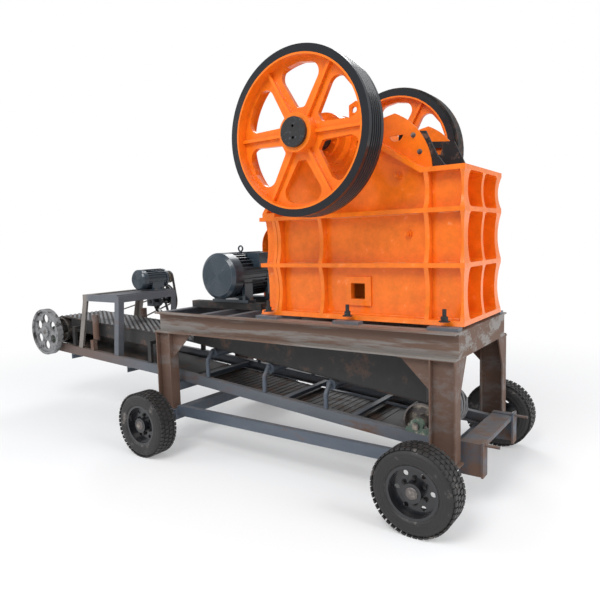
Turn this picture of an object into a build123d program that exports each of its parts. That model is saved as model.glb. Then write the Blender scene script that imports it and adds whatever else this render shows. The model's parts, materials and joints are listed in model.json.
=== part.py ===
"""Portable jaw crusher on a wheeled steel frame, with its discharge belt conveyor.

Millimetres, +Z up, ground at zero. The machine is worked out with x = 0 at the front end of the
deck beams, y = 0 on its middle plane and the conveyor reaching back along -X. Every piece is then
moved along X so that the origin lies under the middle of the whole machine.
"""
import os
from math import acos, asin, atan2, cos, hypot, pi, radians, sin

from build123d import *

# Wheeled frame
deck_height = 1070.0
motor_bay_length = 1009.0
beam_depth = 160.0
beam_flange = 64.0
beam_web = 8.0
beam_flange_thickness = 11.0
leg_depth = 160.0
leg_flange = 88.0
leg_flange_thickness = 10.0
leg_web = 8.0
foot_plate = 10.0
foot_overhang = 20.0
gusset_leg = 205.0
gusset_thickness = 8.0
track_width = 1752.0
tyre_diameter = 498.0
tyre_width = 158.0
rim_diameter = 306.0
rim_sheet = 8.0
wheel_hole_count = 6
front_axle_setback = 118.0
rear_axle_offset = 174.0
axle_box = 80.0
spindle_diameter = 56.0
tie_depth = 78.0
tie_flange = 40.0
tie_steel = 7.0
tie_rise = 33.0

# Crusher frame, heights above its own base
crusher_length = 1504.0
frame_height = 935.0
upper_rib_height = 698.0
lower_rib_height = 370.0
frame_width = 731.0
side_plate = 35.0
side_rib_reach = 75.0
end_rib_reach = 110.0
end_plate = 45.0
rib_thickness = 28.0
base_width = 910.0
base_plate = 30.0
scallop_depth = 28.0
end_scallop_depth = 15.0
pocket_round = 24.0
shim_thickness = 20.0
shim_length = 190.0
shim_width = 68.0
shim_margin = 101.0
shoulder_setback = 262.0
seat_front_reach = 263.0
seat_rear_reach = 245.0
rear_shoulder_rise = 110.0
rear_shoulder_step = 20.0
rear_lip = 30.0
window_setback = 737.0
window_height = 183.0
window_size = 104.0
window_rim = 44.0
boss_diameter = 48.0
boss_rise = 10.0
fan_width = 347.0
fan_height = 357.0
fan_front = 29.0
fan_inset = 5.0
fan_sheet = 14.0
fan_slot_width = 94.0

# Jaws and toggle
jaw_gap = 70.0
jaw_gape = 395.0
jaw_plate_thickness = 60.0
jaw_rise = 20.0
tooth_pitch = 44.0
tooth_height = 20.0
fixed_jaw_foot = 110.0
moving_jaw_foot = 70.0
mouth_margin = 24.0
cheek_thickness = 20.0
cheek_height = 246.0
cheek_reach = 307.0
barrel_diameter = 344.0
pitman_side_gap = 12.0
pitman_plate = 70.0
pitman_rib = 40.0
lug_offset = 44.0
lug_width = 82.0
lug_rise = 290.0
lug_crown = 12.0
lug_reach = 84.0
toggle_height = 340.0
toggle_beam_depth = 260.0
toggle_beam_length = 150.0
toggle_diameter = 48.0
toggle_heel_gap = 15.0

# Main shaft, its bearings and flywheels
shaft_setback = 897.0
shaft_height = 1169.0
shaft_diameter = 150.0
shaft_throw = 10.0
cap_diameter = 178.0
cap_thickness = 22.0
cap_hole_diameter = 18.0
cap_hole_reach = 34.0
housing_diameter = 330.0
housing_wall = 42.0
housing_reach = 65.0
housing_cover_diameter = 236.0
housing_cover_thickness = 27.0
housing_lug_reach = 245.0
housing_lug_height = 42.0
flywheel_diameter = 1000.0
flywheel_width = 175.0
flywheel_standoff = 209.5
flywheel_web = 34.0
hub_diameter = 232.0
hub_step = 8.0
spoke_count = 6
spoke_width = 108.0
spoke_rib_width = 20.0
spoke_rib_rise = 24.0
spoke_round = 62.0
spoke_rim_margin = 22.0
spoke_hub_margin = 40.0
groove_count = 5
groove_depth = 12.0
groove_pitch = 24.0

# Motor and its belt drive
motor_offset = 458.0
motor_shaft_height = 225.0
motor_diameter = 372.0
motor_overhang = 250.0
motor_length = 600.0
motor_fin = 6.0
motor_fin_pairs = 18
motor_foot_thickness = 24.0
motor_foot_web = 30.0
motor_foot_length = 100.0
motor_foot_inset = 20.0
terminal_box_width = 150.0
terminal_box_length = 170.0
motor_shaft_diameter = 60.0
sheave_diameter = 270.0
sheave_lip = 8.0
belt_thickness = 14.0
belt_clearance = 5.5
slide_rail_height = 56.0
slide_rail_width = 80.0
slide_rail_inset = 10.0
slide_slot_margin = 85.0
front_cross_beam_offset = 778.0
rear_cross_beam_offset = 508.0
guard_offset = 177.0
guard_round = 207.0
guard_rise = 505.0
guard_length = 432.0
guard_sheet = 5.0
guard_foot = 10.0
guard_near_margin = 15.0
guard_far_margin = 20.0

# Belt conveyor; runs are taken from the knee in its rails, drops from the deck
kink_offset = 87.0
rail_gauge = 700.0
rail_depth = 80.0
rail_flange = 43.0
rail_steel = 6.0
rail_tail_height = 366.0
rail_kink_drop = 498.0
rail_head_run = 1730.0
rail_head_height = 660.0
conveyor_belt_width = 500.0
conveyor_belt_thickness = 10.0
belt_kink_drop = 246.0
return_kink_drop = 570.0
belt_fit = 0.3
drum_diameter = 250.0
drum_margin = 10.0
drum_shell = 12.0
drum_recess = 60.0
drum_shaft_diameter = 45.0
drum_shaft_overhang = 12.0
head_drum_run = 1675.0
head_drum_height = 775.0
tail_drum_setback = 316.0
tail_drum_height = 437.0
head_wheel_diameter = 462.0
head_wheel_width = 60.0
head_wheel_standoff = 100.0
head_wheel_holes = 6
bearing_diameter = 88.0
bearing_width = 44.0
bearing_inset = 4.0
bearing_foot_length = 140.0
bearing_foot_thickness = 24.0
bearing_foot_lift = 10.0
bearing_neck = 80.0
roller_diameter = 76.0
idler_clearance = 2.0
idler_overhang = 10.0
bracket_pipe = 34.0
bracket_bend = 40.0
bed_sheet = 6.0
bed_drop = 120.0
bed_gap = 1.0
bed_inset = 8.0
bed_head_margin = 30.0
bed_kink_margin = 80.0
bed_post = 40.0
bed_post_thickness = 28.0
bed_post_inset = 12.0
tail_angle = 45.0
head_angle = 50.0
angle_gap = 3.0
saddle_size = 70.0
saddle_inset = 35.0
saddle_gap = 4.0
saddle_seat = 72.0
skirt_margin = 18.0
skirt_sheet = 6.0
skirt_lift = 10.0
skirt_gap = 2.0
skirt_front_setback = 282.0
skirt_rear_offset = 183.0
tail_box_length = 150.0
tail_box_rise = 31.0
tail_box_depth = 200.0
tail_plate = 12.0
tail_plate_rise = 12.0
tail_plate_outer = 15.0
tail_plate_inner = 20.0
tail_tie_sheet = 10.0
tail_tie_lip = 30.0
take_up_reach = 196.0
take_up_screw = 18.0
take_up_drop = 10.0
guide_run = 1040.0
guide_roller_diameter = 62.0
guide_pin_diameter = 22.0
guide_margin = 42.0
guide_below = 150.0
guide_above = 85.0
guide_post = 44.0
guide_plate = 8.0
guide_gap = 4.0

# Conveyor motor, its stand and the drive of the head drum
stand_height = 1160.0
stand_run = 600.0
stand_length = 545.0
stand_front_splay = 50.0
stand_back_splay = 117.0
stand_inset = 4.0
stand_steel = 6.0
stand_angle = 60.0
stand_plate = 250.0
stand_plate_thickness = 10.0
small_motor_run = 750.0
small_motor_diameter = 196.0
small_motor_length = 320.0
small_motor_shaft_height = 112.0
small_motor_shaft_diameter = 28.0
small_motor_fin = 4.0
small_motor_fin_pairs = 12
small_motor_foot = 14.0
small_pulley_diameter = 110.0
counter_run = 820.0
counter_drop = 110.0
counter_plane = 392.0
counter_shaft_diameter = 35.0
counter_pulley_diameter = 330.0
counter_pulley_width = 40.0
counter_spokes = 5
sprocket_diameter = 90.0
sprocket_plane = 434.0
sprocket_width = 8.0
head_sprocket_diameter = 180.0
chain_width = 16.0
chain_thickness = 12.0
hanger_near = 200.0
hanger_far = 296.0
hanger_width = 96.0
hanger_sheet = 12.0

# Running clearances and cutter overrun
joint_clearance = 5.0
shaft_clearance = 0.6
weld_gap = 0.2
overrun = 40.0

# Places given as a share of the size that carries them
spindle_tip_share = 0.35
hub_share = 0.36
dish_share = 0.62
bead_share = 0.94
wheel_hole_share = 0.1
tyre_shoulder_share = 0.2
tyre_wall_share = 0.06
side_rib_shares = (0.148, 0.65, 0.887)
boss_setback_shares = (0.252, 0.294)
boss_height_shares = (0.586, 0.969)
fan_x_shares = (0, 0.300, 0.689, 0.925, 1)
fan_z_shares = (0, 0.734, 1, 0.955, 0.448)
fan_slot_shares = (0.663, 0.622)
cheek_x_shares = (0, 0.169, 0.404, 0.974, 1)
cheek_z_shares = (0.041, 0.325, 0.935, 1, 0.427)
notch_x_shares = (0.671, 0.958, 0.879, 0.717)
notch_z_shares = (0.797, 0.813, 0.626, 0.614)
toggle_share = 0.32
seat_share = 0.08
toggle_web_share = 0.75
journal_share = 0.9
flywheel_rim_share = 0.885
groove_mouth_share = 0.36
groove_floor_share = 0.16
cowl_share = 0.2
shield_share = 0.93
core_share = 0.88
shield_radius_share = 0.96
wheel_rim_share = 0.9
wheel_hub_share = 0.24
wheel_hole_ring_share = 0.58
head_hole_share = 0.19
idler_shares = (0.817, 0.592, 0.382)
tail_angle_shares = (0.869, 0.538, 0.315)
head_angle_shares = (0.803, 0.306)
bed_post_shares = (0.12, 0.9)
counter_rim_share = 0.86

# Places that follow from the sizes above
deck_length = crusher_length + motor_bay_length
half_base = base_width / 2
half_deck = half_base + beam_flange
half_frame = frame_width / 2
wall_outer = half_frame - side_rib_reach
wall_inner = wall_outer - side_plate
base_z = deck_height + shim_thickness
top_z = base_z + frame_height
upper_z = base_z + upper_rib_height
lower_z = base_z + lower_rib_height
toggle_z = base_z + toggle_height
level_heights = (
    (base_z + base_plate, lower_z - rib_thickness),
    (lower_z, upper_z - rib_thickness),
    (upper_z, top_z - rib_thickness),
)
front_plate_x = -end_rib_reach
rear_plate_x = -crusher_length + end_rib_reach
rear_corner_x = rear_plate_x + end_plate
shim_spots = (-shim_margin, -crusher_length / 2, shim_margin - crusher_length)
shaft_x = -shaft_setback
shaft_z = base_z + shaft_height
flywheel_radius = flywheel_diameter / 2
flywheel_gap = half_frame + flywheel_standoff
flywheel_plane = flywheel_gap + flywheel_width / 2
belt_set_width = groove_pitch * groove_count
housing_radius = housing_diameter / 2
fixed_jaw_x = front_plate_x - end_plate
fixed_face_x = fixed_jaw_x - jaw_plate_thickness - tooth_height
jaw_top_z = top_z + jaw_rise
jaw_bottom_z = base_z + fixed_jaw_foot
moving_top_x = fixed_face_x - jaw_gape
moving_foot_x = fixed_face_x - jaw_gap
moving_foot_z = base_z + moving_jaw_foot
jaw_lean = atan2(moving_foot_x - moving_top_x, jaw_top_z - moving_foot_z)
jaw_length = hypot(moving_foot_x - moving_top_x, jaw_top_z - moving_foot_z)
mouth_half = wall_inner - mouth_margin
barrel_radius = barrel_diameter / 2
barrel_bore = shaft_diameter / 2 + shaft_throw + joint_clearance
pitman_half = wall_inner - pitman_side_gap
toggle_radius = toggle_diameter / 2
half_track = track_width / 2
tyre_radius = tyre_diameter / 2
axle_z = tyre_radius
leg_foot_z = axle_z + axle_box / 2
rear_axle_setback = deck_length - rear_axle_offset
tie_top = leg_foot_z + tie_rise
motor_x = motor_offset - deck_length
motor_z = deck_height + slide_rail_height + motor_shaft_height
motor_back = -motor_overhang
motor_front = motor_back + motor_length
motor_cowl_end = motor_back + motor_length * cowl_share
motor_body_end = motor_back + motor_length * shield_share
half_gauge = rail_gauge / 2
drum_radius = drum_diameter / 2
kink_setback = deck_length + kink_offset
rail_kink_height = deck_height - rail_kink_drop
belt_kink_height = deck_height - belt_kink_drop
return_kink_height = deck_height - return_kink_drop
rail_head_setback = kink_setback + rail_head_run
head_drum_setback = kink_setback + head_drum_run
drum_face = conveyor_belt_width + 2 * drum_margin
bearing_y = half_gauge - rail_flange / 2 - bearing_inset
skirt_y = conveyor_belt_width / 2 + skirt_margin
skirt_top = deck_height - beam_depth - skirt_gap
stand_front = kink_setback + stand_run
stand_back = stand_front + stand_length
small_motor_setback = kink_setback + small_motor_run
small_motor_z = stand_height + stand_plate_thickness + small_motor_shaft_height
counter_x = -kink_setback - counter_run
counter_z = stand_height - counter_drop
head_reach = head_drum_setback + head_wheel_diameter / 2
centre_shift = (head_reach - take_up_reach) / 2

parts = {}


def block(x0, x1, y0, y1, z0, z1):
    """A plate or bar given by its two opposite corners."""
    box = Box(abs(x1 - x0), abs(y1 - y0), abs(z1 - z0))
    return Pos((x0 + x1) / 2, (y0 + y1) / 2, (z0 + z1) / 2) * box


def face_of(points):
    """A flat face with the given corners, drawn in its sketch plane."""
    return make_face(Polyline(*points, close=True))


def slab_of(sketch, y0, y1):
    """A sketch in x and z given its thickness from y0 to y1."""
    plane = Plane(origin=(0, max(y0, y1), 0), x_dir=(1, 0, 0), z_dir=(0, -1, 0))
    return extrude(plane * sketch, amount=abs(y1 - y0))


def side_plate_of(points, y0, y1):
    """A plate whose outline is drawn in x and z, from y0 to y1."""
    return slab_of(face_of(points), y0, y1)


def cross_plate_of(points, x0, x1):
    """A plate whose outline is drawn in y and z, from x0 to x1."""
    plane = Plane(origin=(min(x0, x1), 0, 0), x_dir=(0, 1, 0), z_dir=(1, 0, 0))
    return extrude(plane * face_of(points), amount=abs(x1 - x0))


def level_plate_of(points, z0, z1):
    """A plate whose outline is drawn in x and y, from z0 to z1."""
    return extrude(Pos(0, 0, min(z0, z1)) * face_of(points), amount=abs(z1 - z0))


def rod(centre, radius, y0, y1):
    """A round bar along Y; centre is its x and z."""
    bar = Cylinder(radius, abs(y1 - y0))
    return Pos(centre[0], (y0 + y1) / 2, centre[1]) * Rot(90, 0, 0) * bar


def post(x, y, radius, z0, z1):
    """A round bar along Z."""
    return Pos(x, y, (z0 + z1) / 2) * Cylinder(radius, abs(z1 - z0))


def turned(profile, centre, y0=0):
    """A solid of revolution about the Y line through centre; profile is (radius, y) pairs."""
    plane = Plane(origin=(centre[0], y0, centre[1]), x_dir=(1, 0, 0), z_dir=(0, 0, 1))
    axis = Axis((centre[0], y0, centre[1]), (0, 1, 0))
    return revolve(plane * face_of(profile), axis=axis, revolution_arc=360)


def turned_on_side(side, profile, centre):
    """A revolved solid whose (radius, y) profile is given for the far side and may be mirrored."""
    return turned([(radius, side * y) for radius, y in profile], centre)


def flat_rectangle(x0, x1, z0, z1):
    """A rectangle in x and z given by two corners."""
    return Pos((x0 + x1) / 2, (z0 + z1) / 2) * Rectangle(abs(x1 - x0), abs(z1 - z0))


def channel_outline(depth, flange, web, thickness):
    """Channel section: web on u = 0, flanges towards +u, top at v = 0."""
    return [(0, 0), (flange, 0), (flange, -thickness), (web, -thickness),
            (web, -depth + thickness), (flange, -depth + thickness), (flange, -depth), (0, -depth)]


def placed_outline(points, sign, shift, lift):
    """A section's points turned to face along +u (+1) or -u (-1) and moved into place."""
    return [(shift + sign * u, lift + v) for u, v in points]


def angle_outline(corner, lift, width, depth, steel):
    """Angle section with its corner on top at the given place and its level leg towards +u."""
    return [(corner, lift), (corner + width, lift), (corner + width, lift - steel),
            (corner + steel, lift - steel), (corner + steel, lift - depth), (corner, lift - depth)]


def groove_profile(rim, middle):
    """Rim line of a V-belt wheel, as (radius, y) pairs across its grooves."""
    first = middle - groove_pitch * (groove_count - 1) / 2
    mouth = groove_pitch * groove_mouth_share
    floor = groove_pitch * groove_floor_share
    points = []
    for groove in range(groove_count):
        y = first + groove * groove_pitch
        points += [(rim, y - mouth), (rim - groove_depth, y - floor),
                   (rim - groove_depth, y + floor), (rim, y + mouth)]
    return points


def rail_z(x):
    """Height of the conveyor rail's top face at x."""
    if x > -kink_setback:
        share = -x / kink_setback
        return rail_tail_height + share * (rail_kink_height - rail_tail_height)
    share = (-x - kink_setback) / rail_head_run
    return rail_kink_height + share * (rail_head_height - rail_kink_height)


def belt_z(x):
    """Height of the carrying belt's upper face at x."""
    tail = tail_drum_height + drum_radius + conveyor_belt_thickness
    head = head_drum_height + drum_radius + conveyor_belt_thickness
    if x > -kink_setback:
        share = (-x - tail_drum_setback) / (kink_setback - tail_drum_setback)
        return tail + share * (belt_kink_height - tail)
    share = (-x - kink_setback) / head_drum_run
    return belt_kink_height + share * (head - belt_kink_height)


def both_sides(name, make):
    """Make a near and a far piece; make is given -1 for near and +1 for far."""
    parts[name + "_near"] = make(-1)
    parts[name + "_far"] = make(1)


def joined(pieces):
    """One solid out of several that touch."""
    body = pieces[0]
    for piece in pieces[1:]:
        body += piece
    return body


def deck_beam(side):
    """Side beam of the deck: channel with its flanges outward and the ledge the crusher stands on."""
    section = channel_outline(beam_depth, beam_flange, beam_web, beam_flange_thickness)
    body = cross_plate_of(placed_outline(section, side, side * half_base, deck_height),
                          -deck_length, 0)
    y_in = side * (half_base - shim_width)
    under = deck_height - beam_flange_thickness
    body += block(-crusher_length, -beam_flange - weld_gap, side * half_base, y_in,
                  under, deck_height)
    for x in shim_spots[:2]:
        gusset = [(side * half_base, under), (y_in, under),
                  (side * half_base, deck_height - beam_depth + beam_flange_thickness)]
        body += cross_plate_of(gusset, x - shim_length / 4, x - shim_length / 4 + gusset_thickness)
    return body


def end_beam(x_face, direction):
    """Channel across the deck with its web on x_face and its flanges towards direction."""
    reach = half_base - weld_gap
    section = channel_outline(beam_depth, beam_flange, beam_web, beam_flange_thickness)
    return side_plate_of(placed_outline(section, direction, x_face, deck_height), -reach, reach)


def rear_beams():
    """The rear end channel and the two that carry the motor's slide rails."""
    return Compound([
        end_beam(-deck_length, 1),
        end_beam(rear_cross_beam_offset - deck_length, -1),
        end_beam(front_cross_beam_offset - deck_length, -1),
    ])


def leg(side, x_outer, inward):
    """I-section leg with its foot plate and its two triangular gussets under the deck beam."""
    z0 = leg_foot_z + foot_plate
    z1 = deck_height - beam_depth
    y_out = side * half_deck
    y_in = side * (half_deck - leg_flange)
    y_mid = (y_out + y_in) / 2
    x_inner = x_outer + inward * leg_depth
    flange = inward * leg_flange_thickness
    corner = [(x_inner, z1), (x_inner + inward * gusset_leg, z1), (x_inner, z1 - gusset_leg)]
    cross = [(y_in, z1), (y_in - side * gusset_leg / 2, z1), (y_in, z1 - gusset_leg)]
    return joined([
        block(x_outer, x_outer + flange, y_in, y_out, z0, z1),
        block(x_inner - flange, x_inner, y_in, y_out, z0, z1),
        block(x_outer, x_inner, y_mid - leg_web / 2, y_mid + leg_web / 2, z0, z1),
        block(x_outer - inward * foot_overhang, x_inner + inward * foot_overhang,
              y_in, y_out, leg_foot_z, z0),
        side_plate_of(corner, y_mid - gusset_thickness / 2, y_mid + gusset_thickness / 2),
        cross_plate_of(cross, x_outer + flange, x_outer),
    ])


def axle(setback):
    """Square axle box under the leg feet with a turned spindle at each end."""
    box_reach = half_deck + foot_overhang
    body = block(-setback - axle_box / 2, -setback + axle_box / 2, -box_reach, box_reach,
                 axle_z - axle_box / 2, axle_z + axle_box / 2)
    for side in (-1, 1):
        tip = side * (half_track - tyre_width * spindle_tip_share)
        body += rod((-setback, axle_z), spindle_diameter / 2, side * box_reach, tip)
    return body


def wheel_rim(side, setback):
    """Dished steel rim with hub, turned about the axle and pierced by a ring of hand holes."""
    rim = rim_diameter / 2
    seat = rim - rim_sheet * 2
    hub = rim * hub_share
    bore = spindle_diameter / 2 + shaft_clearance
    outer = half_track - tyre_width * (1 - bead_share)
    inner = half_track - tyre_width * bead_share
    dish = inner + (outer - inner) * dish_share
    profile = [(rim, outer), (seat, outer), (seat, dish + rim_sheet), (hub, dish + rim_sheet),
               (hub, outer), (hub / 2, outer), (bore, outer - rim_sheet), (bore, inner),
               (hub, inner), (hub, dish), (seat, dish), (seat, inner), (rim, inner)]
    body = turned_on_side(side, profile, (-setback, axle_z))
    ring = (rim + hub) / 2
    for turn in range(wheel_hole_count):
        angle = 2 * pi * turn / wheel_hole_count
        spot = (-setback + ring * cos(angle), axle_z + ring * sin(angle))
        body -= rod(spot, rim * wheel_hole_share, side * (dish - rim_sheet),
                    side * (dish + rim_sheet * 2))
    return body


def tyre(side, setback):
    """Tyre with rounded shoulders and a crowned tread."""
    outer = half_track
    inner = half_track - tyre_width
    rim = rim_diameter / 2 + weld_gap
    shoulder = tyre_width * tyre_shoulder_share
    wall = tyre_width * tyre_wall_share
    corner = shoulder / 3
    profile = [(rim, outer - wall), (rim + wall * 2, outer), (tyre_radius - shoulder, outer),
               (tyre_radius - corner, outer - corner), (tyre_radius, outer - shoulder),
               (tyre_radius, inner + shoulder), (tyre_radius - corner, inner + corner),
               (tyre_radius - shoulder, inner), (rim + wall * 2, inner), (rim, inner + wall)]
    return turned_on_side(side, profile, (-setback, axle_z))


def tie(side):
    """Low channel joining the front and rear axle on one side."""
    section = channel_outline(tie_depth, tie_flange, tie_steel, tie_steel)
    outline = placed_outline(section, -side, side * half_deck, tie_top)
    return cross_plate_of(outline, -rear_axle_setback + axle_box / 2 + weld_gap,
                          -leg_depth - foot_overhang - weld_gap)


def hollow_radius(height, depth):
    """Radius of the curve that is depth deep over a chord of the given height."""
    return (height * height / 4 + depth * depth) / (2 * depth)


def side_hollow(side, x0, x1, low, high):
    """Cutter that hollows the free edges of the side ribs between two level ribs."""
    radius = hollow_radius(high - low, scallop_depth)
    spot = Pos((x0 + x1) / 2, side * (half_frame + radius - scallop_depth), (low + high) / 2)
    return spot * Rot(0, 90, 0) * Cylinder(radius, abs(x1 - x0))


def end_hollow(x_edge, way, low, high):
    """Cutter that hollows the free edges of the end ribs between two level ribs."""
    radius = hollow_radius(high - low, end_scallop_depth)
    return rod((x_edge + way * (radius - end_scallop_depth), (low + high) / 2), radius,
               -half_frame - overrun, half_frame + overrun)


def wall_outline():
    """Side view of the crusher: box below, shoulders that rise to the bearing seats above."""
    lip_x = -crusher_length + rear_lip
    return [(0, base_z), (0, top_z), (-shoulder_setback, top_z),
            (shaft_x + seat_front_reach, shaft_z), (shaft_x - seat_rear_reach, shaft_z),
            (rear_plate_x - rear_shoulder_step, upper_z + rear_shoulder_rise),
            (lip_x, upper_z + rib_thickness), (lip_x, upper_z),
            (rear_plate_x, upper_z), (rear_plate_x, base_z)]


def rounded(face):
    """A pocket's face with its corners rounded as a casting's are."""
    try:
        return fillet(face.vertices(), pocket_round)
    except ValueError:
        return face


def rib_field():
    """Face of the side wall's rim and ribs: the wall's outline less its rounded pockets."""
    outline = face_of(wall_outline())
    pockets = offset(outline, amount=-rib_thickness, kind=Kind.INTERSECTION)
    pockets -= flat_rectangle(-crusher_length, 0, base_z, base_z + base_plate)
    for z in (lower_z, upper_z):
        pockets -= flat_rectangle(-crusher_length, 0, z - rib_thickness, z)
    for index, share in enumerate(side_rib_shares):
        x = -crusher_length * share
        pockets -= flat_rectangle(x - rib_thickness, x, base_z, upper_z if index else top_z)
    pockets -= Pos(shaft_x, shaft_z) * Circle(housing_radius + housing_wall)
    return outline - (Sketch() + [rounded(face) for face in pockets.faces()])


def side_wall(side):
    """Cast side wall: plate, level ribs, hollowed upright ribs, bearing seat and fan plate."""
    y_in = side * wall_inner
    y_out = side * wall_outer
    y_rib = side * half_frame
    plate = face_of(wall_outline())
    plate -= flat_rectangle(front_plate_x, overrun, base_z - overrun, top_z + overrun)
    body = slab_of(plate, y_in, y_out) + slab_of(rib_field(), y_out, y_rib)
    for z in (lower_z, upper_z):
        body += block(-crusher_length, rear_plate_x, y_out, y_rib, z - rib_thickness, z)
    body += block(-crusher_length, 0, y_out, side * half_base, base_z, base_z + base_plate)
    for low, high in level_heights[:2]:
        body -= side_hollow(side, -crusher_length, 0, low, high)
    first_rib_x = -crusher_length * side_rib_shares[0] - rib_thickness - weld_gap
    body -= side_hollow(side, first_rib_x, 0, *level_heights[2])
    for low, high in level_heights:
        body -= end_hollow(0, 1, low, high)
    body -= rod((shaft_x, shaft_z), housing_radius + weld_gap, y_in - side * overrun,
                y_rib + side * overrun)
    for back, up in zip(boss_setback_shares, boss_height_shares):
        spot = (-crusher_length * back, base_z + frame_height * up)
        body += rod(spot, boss_diameter / 2, y_out, y_out + side * boss_rise)
    if side < 0:
        body = with_window(body, y_in, y_out)
    return body + fan_plate(side)


def with_window(body, y_in, y_out):
    """The near side wall with the framed opening through which the toggle is reached."""
    half = window_size / 2
    rim = half + window_rim
    x = -window_setback
    z = base_z + window_height
    body += block(x - rim, x + rim, y_out, y_out - rib_thickness / 2, z - rim, z + rim)
    return body - block(x - half, x + half, y_out - overrun, y_in + overrun, z - half, z + half)


def fan_plate(side):
    """Fan-shaped cover plate on the shoulder beside the mouth, with its half-moon slot."""
    front = -shoulder_setback + fan_front
    foot = top_z - fan_sheet
    low, bend, crest, back, shoulder = [
        (front - fan_width * across, foot + (fan_height + fan_sheet) * up)
        for across, up in zip(fan_x_shares, fan_z_shares)]
    heel = (-shoulder_setback, foot)
    arc = ThreePointArc(low, bend, crest)
    fan = make_face(Curve() + [arc, Line(crest, back), Line(back, shoulder), Line(shoulder, heel),
                               Line(heel, low)])
    x = front - fan_width * fan_slot_shares[0]
    z = top_z + fan_height * fan_slot_shares[1]
    half = fan_slot_width / 2
    sag = ThreePointArc((x + half, z), (x, z - half * 0.8), (x - half, z))
    moon = make_face(Curve() + [Line((x - half, z), (x + half, z)), sag])
    y0 = side * (wall_inner + fan_inset)
    return slab_of(fan - moon, y0, y0 + side * fan_sheet)


def end_wall(x_plate, x_edge, top, levels):
    """Plate across one end of the crusher, with level ribs and three hollowed upright ribs."""
    way = 1 if x_edge > x_plate else -1
    body = block(x_plate - way * end_plate, x_plate, -wall_inner, wall_inner, base_z, top)
    mass = block(x_plate, x_edge, -wall_outer, wall_outer, base_z, top)
    width = wall_outer - rib_thickness * 1.5
    for low, high in levels:
        for side in (-1, 1):
            pocket = Box(end_rib_reach * 3, width, high - low)
            pocket = fillet(pocket.edges().filter_by(Axis.X), pocket_round)
            mass -= Pos(x_plate + way * end_rib_reach * 1.5, side * wall_outer / 2,
                        (low + high) / 2) * pocket
        mass -= end_hollow(x_edge, way, low, high)
    return body + mass


def front_wall():
    """Front wall that backs the fixed jaw."""
    return end_wall(front_plate_x, 0, top_z, level_heights)


def rear_wall():
    """Rear wall with the beam that carries the rear toggle seat."""
    body = end_wall(rear_plate_x, -crusher_length, upper_z, level_heights[:2])
    x1 = rear_corner_x + toggle_beam_length
    half = toggle_beam_depth / 2
    body += block(rear_corner_x, x1, -wall_inner, wall_inner, toggle_z - half, toggle_z + half)
    return body - rod((x1, toggle_z), toggle_radius + shaft_clearance, -wall_inner - overrun,
                      wall_inner + overrun)


def toothed_outline(half_width, back, face, height, phase):
    """Plan of a jaw plate: flat back, and a face of V teeth running down the plate."""
    way = 1 if face > back else -1
    count = int(2 * half_width // tooth_pitch)
    first = -count * tooth_pitch / 2
    points = [(back, -half_width), (back, half_width), (face, half_width)]
    for tooth in reversed(range(count)):
        y = first + tooth * tooth_pitch
        points.append((face + phase * way * height, y + tooth_pitch))
        points.append((face + (1 - phase) * way * height, y + tooth_pitch / 2))
    points.append((face + phase * way * height, first))
    points.append((face, -half_width))
    return points


def fixed_jaw():
    """Upright toothed plate on the front wall."""
    outline = toothed_outline(mouth_half, fixed_jaw_x, fixed_jaw_x - jaw_plate_thickness,
                              tooth_height, 0)
    return level_plate_of(outline, jaw_bottom_z, jaw_top_z)


def lean_point(along, back):
    """A point of the moving jaw: along runs up its face from the foot, back lies behind it."""
    x = moving_foot_x - along * sin(jaw_lean) - back * cos(jaw_lean)
    z = moving_foot_z + along * cos(jaw_lean) - back * sin(jaw_lean)
    return (x, z)


def moving_jaw():
    """Toothed plate on the front of the swing jaw."""
    outline = toothed_outline(mouth_half - joint_clearance, 0, jaw_plate_thickness, tooth_height, 1)
    foot = lean_point(0, jaw_plate_thickness + tooth_height)
    plane = Plane(origin=(foot[0], 0, foot[1]), x_dir=(cos(jaw_lean), 0, sin(jaw_lean)),
                  z_dir=(-sin(jaw_lean), 0, cos(jaw_lean)))
    return extrude(plane * face_of(outline), amount=jaw_length)


def barrel_tangent(angle):
    """Point of the barrel's skin at an angle from the jaw's own lean."""
    return (shaft_x + barrel_radius * cos(jaw_lean + angle),
            shaft_z + barrel_radius * sin(jaw_lean + angle))


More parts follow.
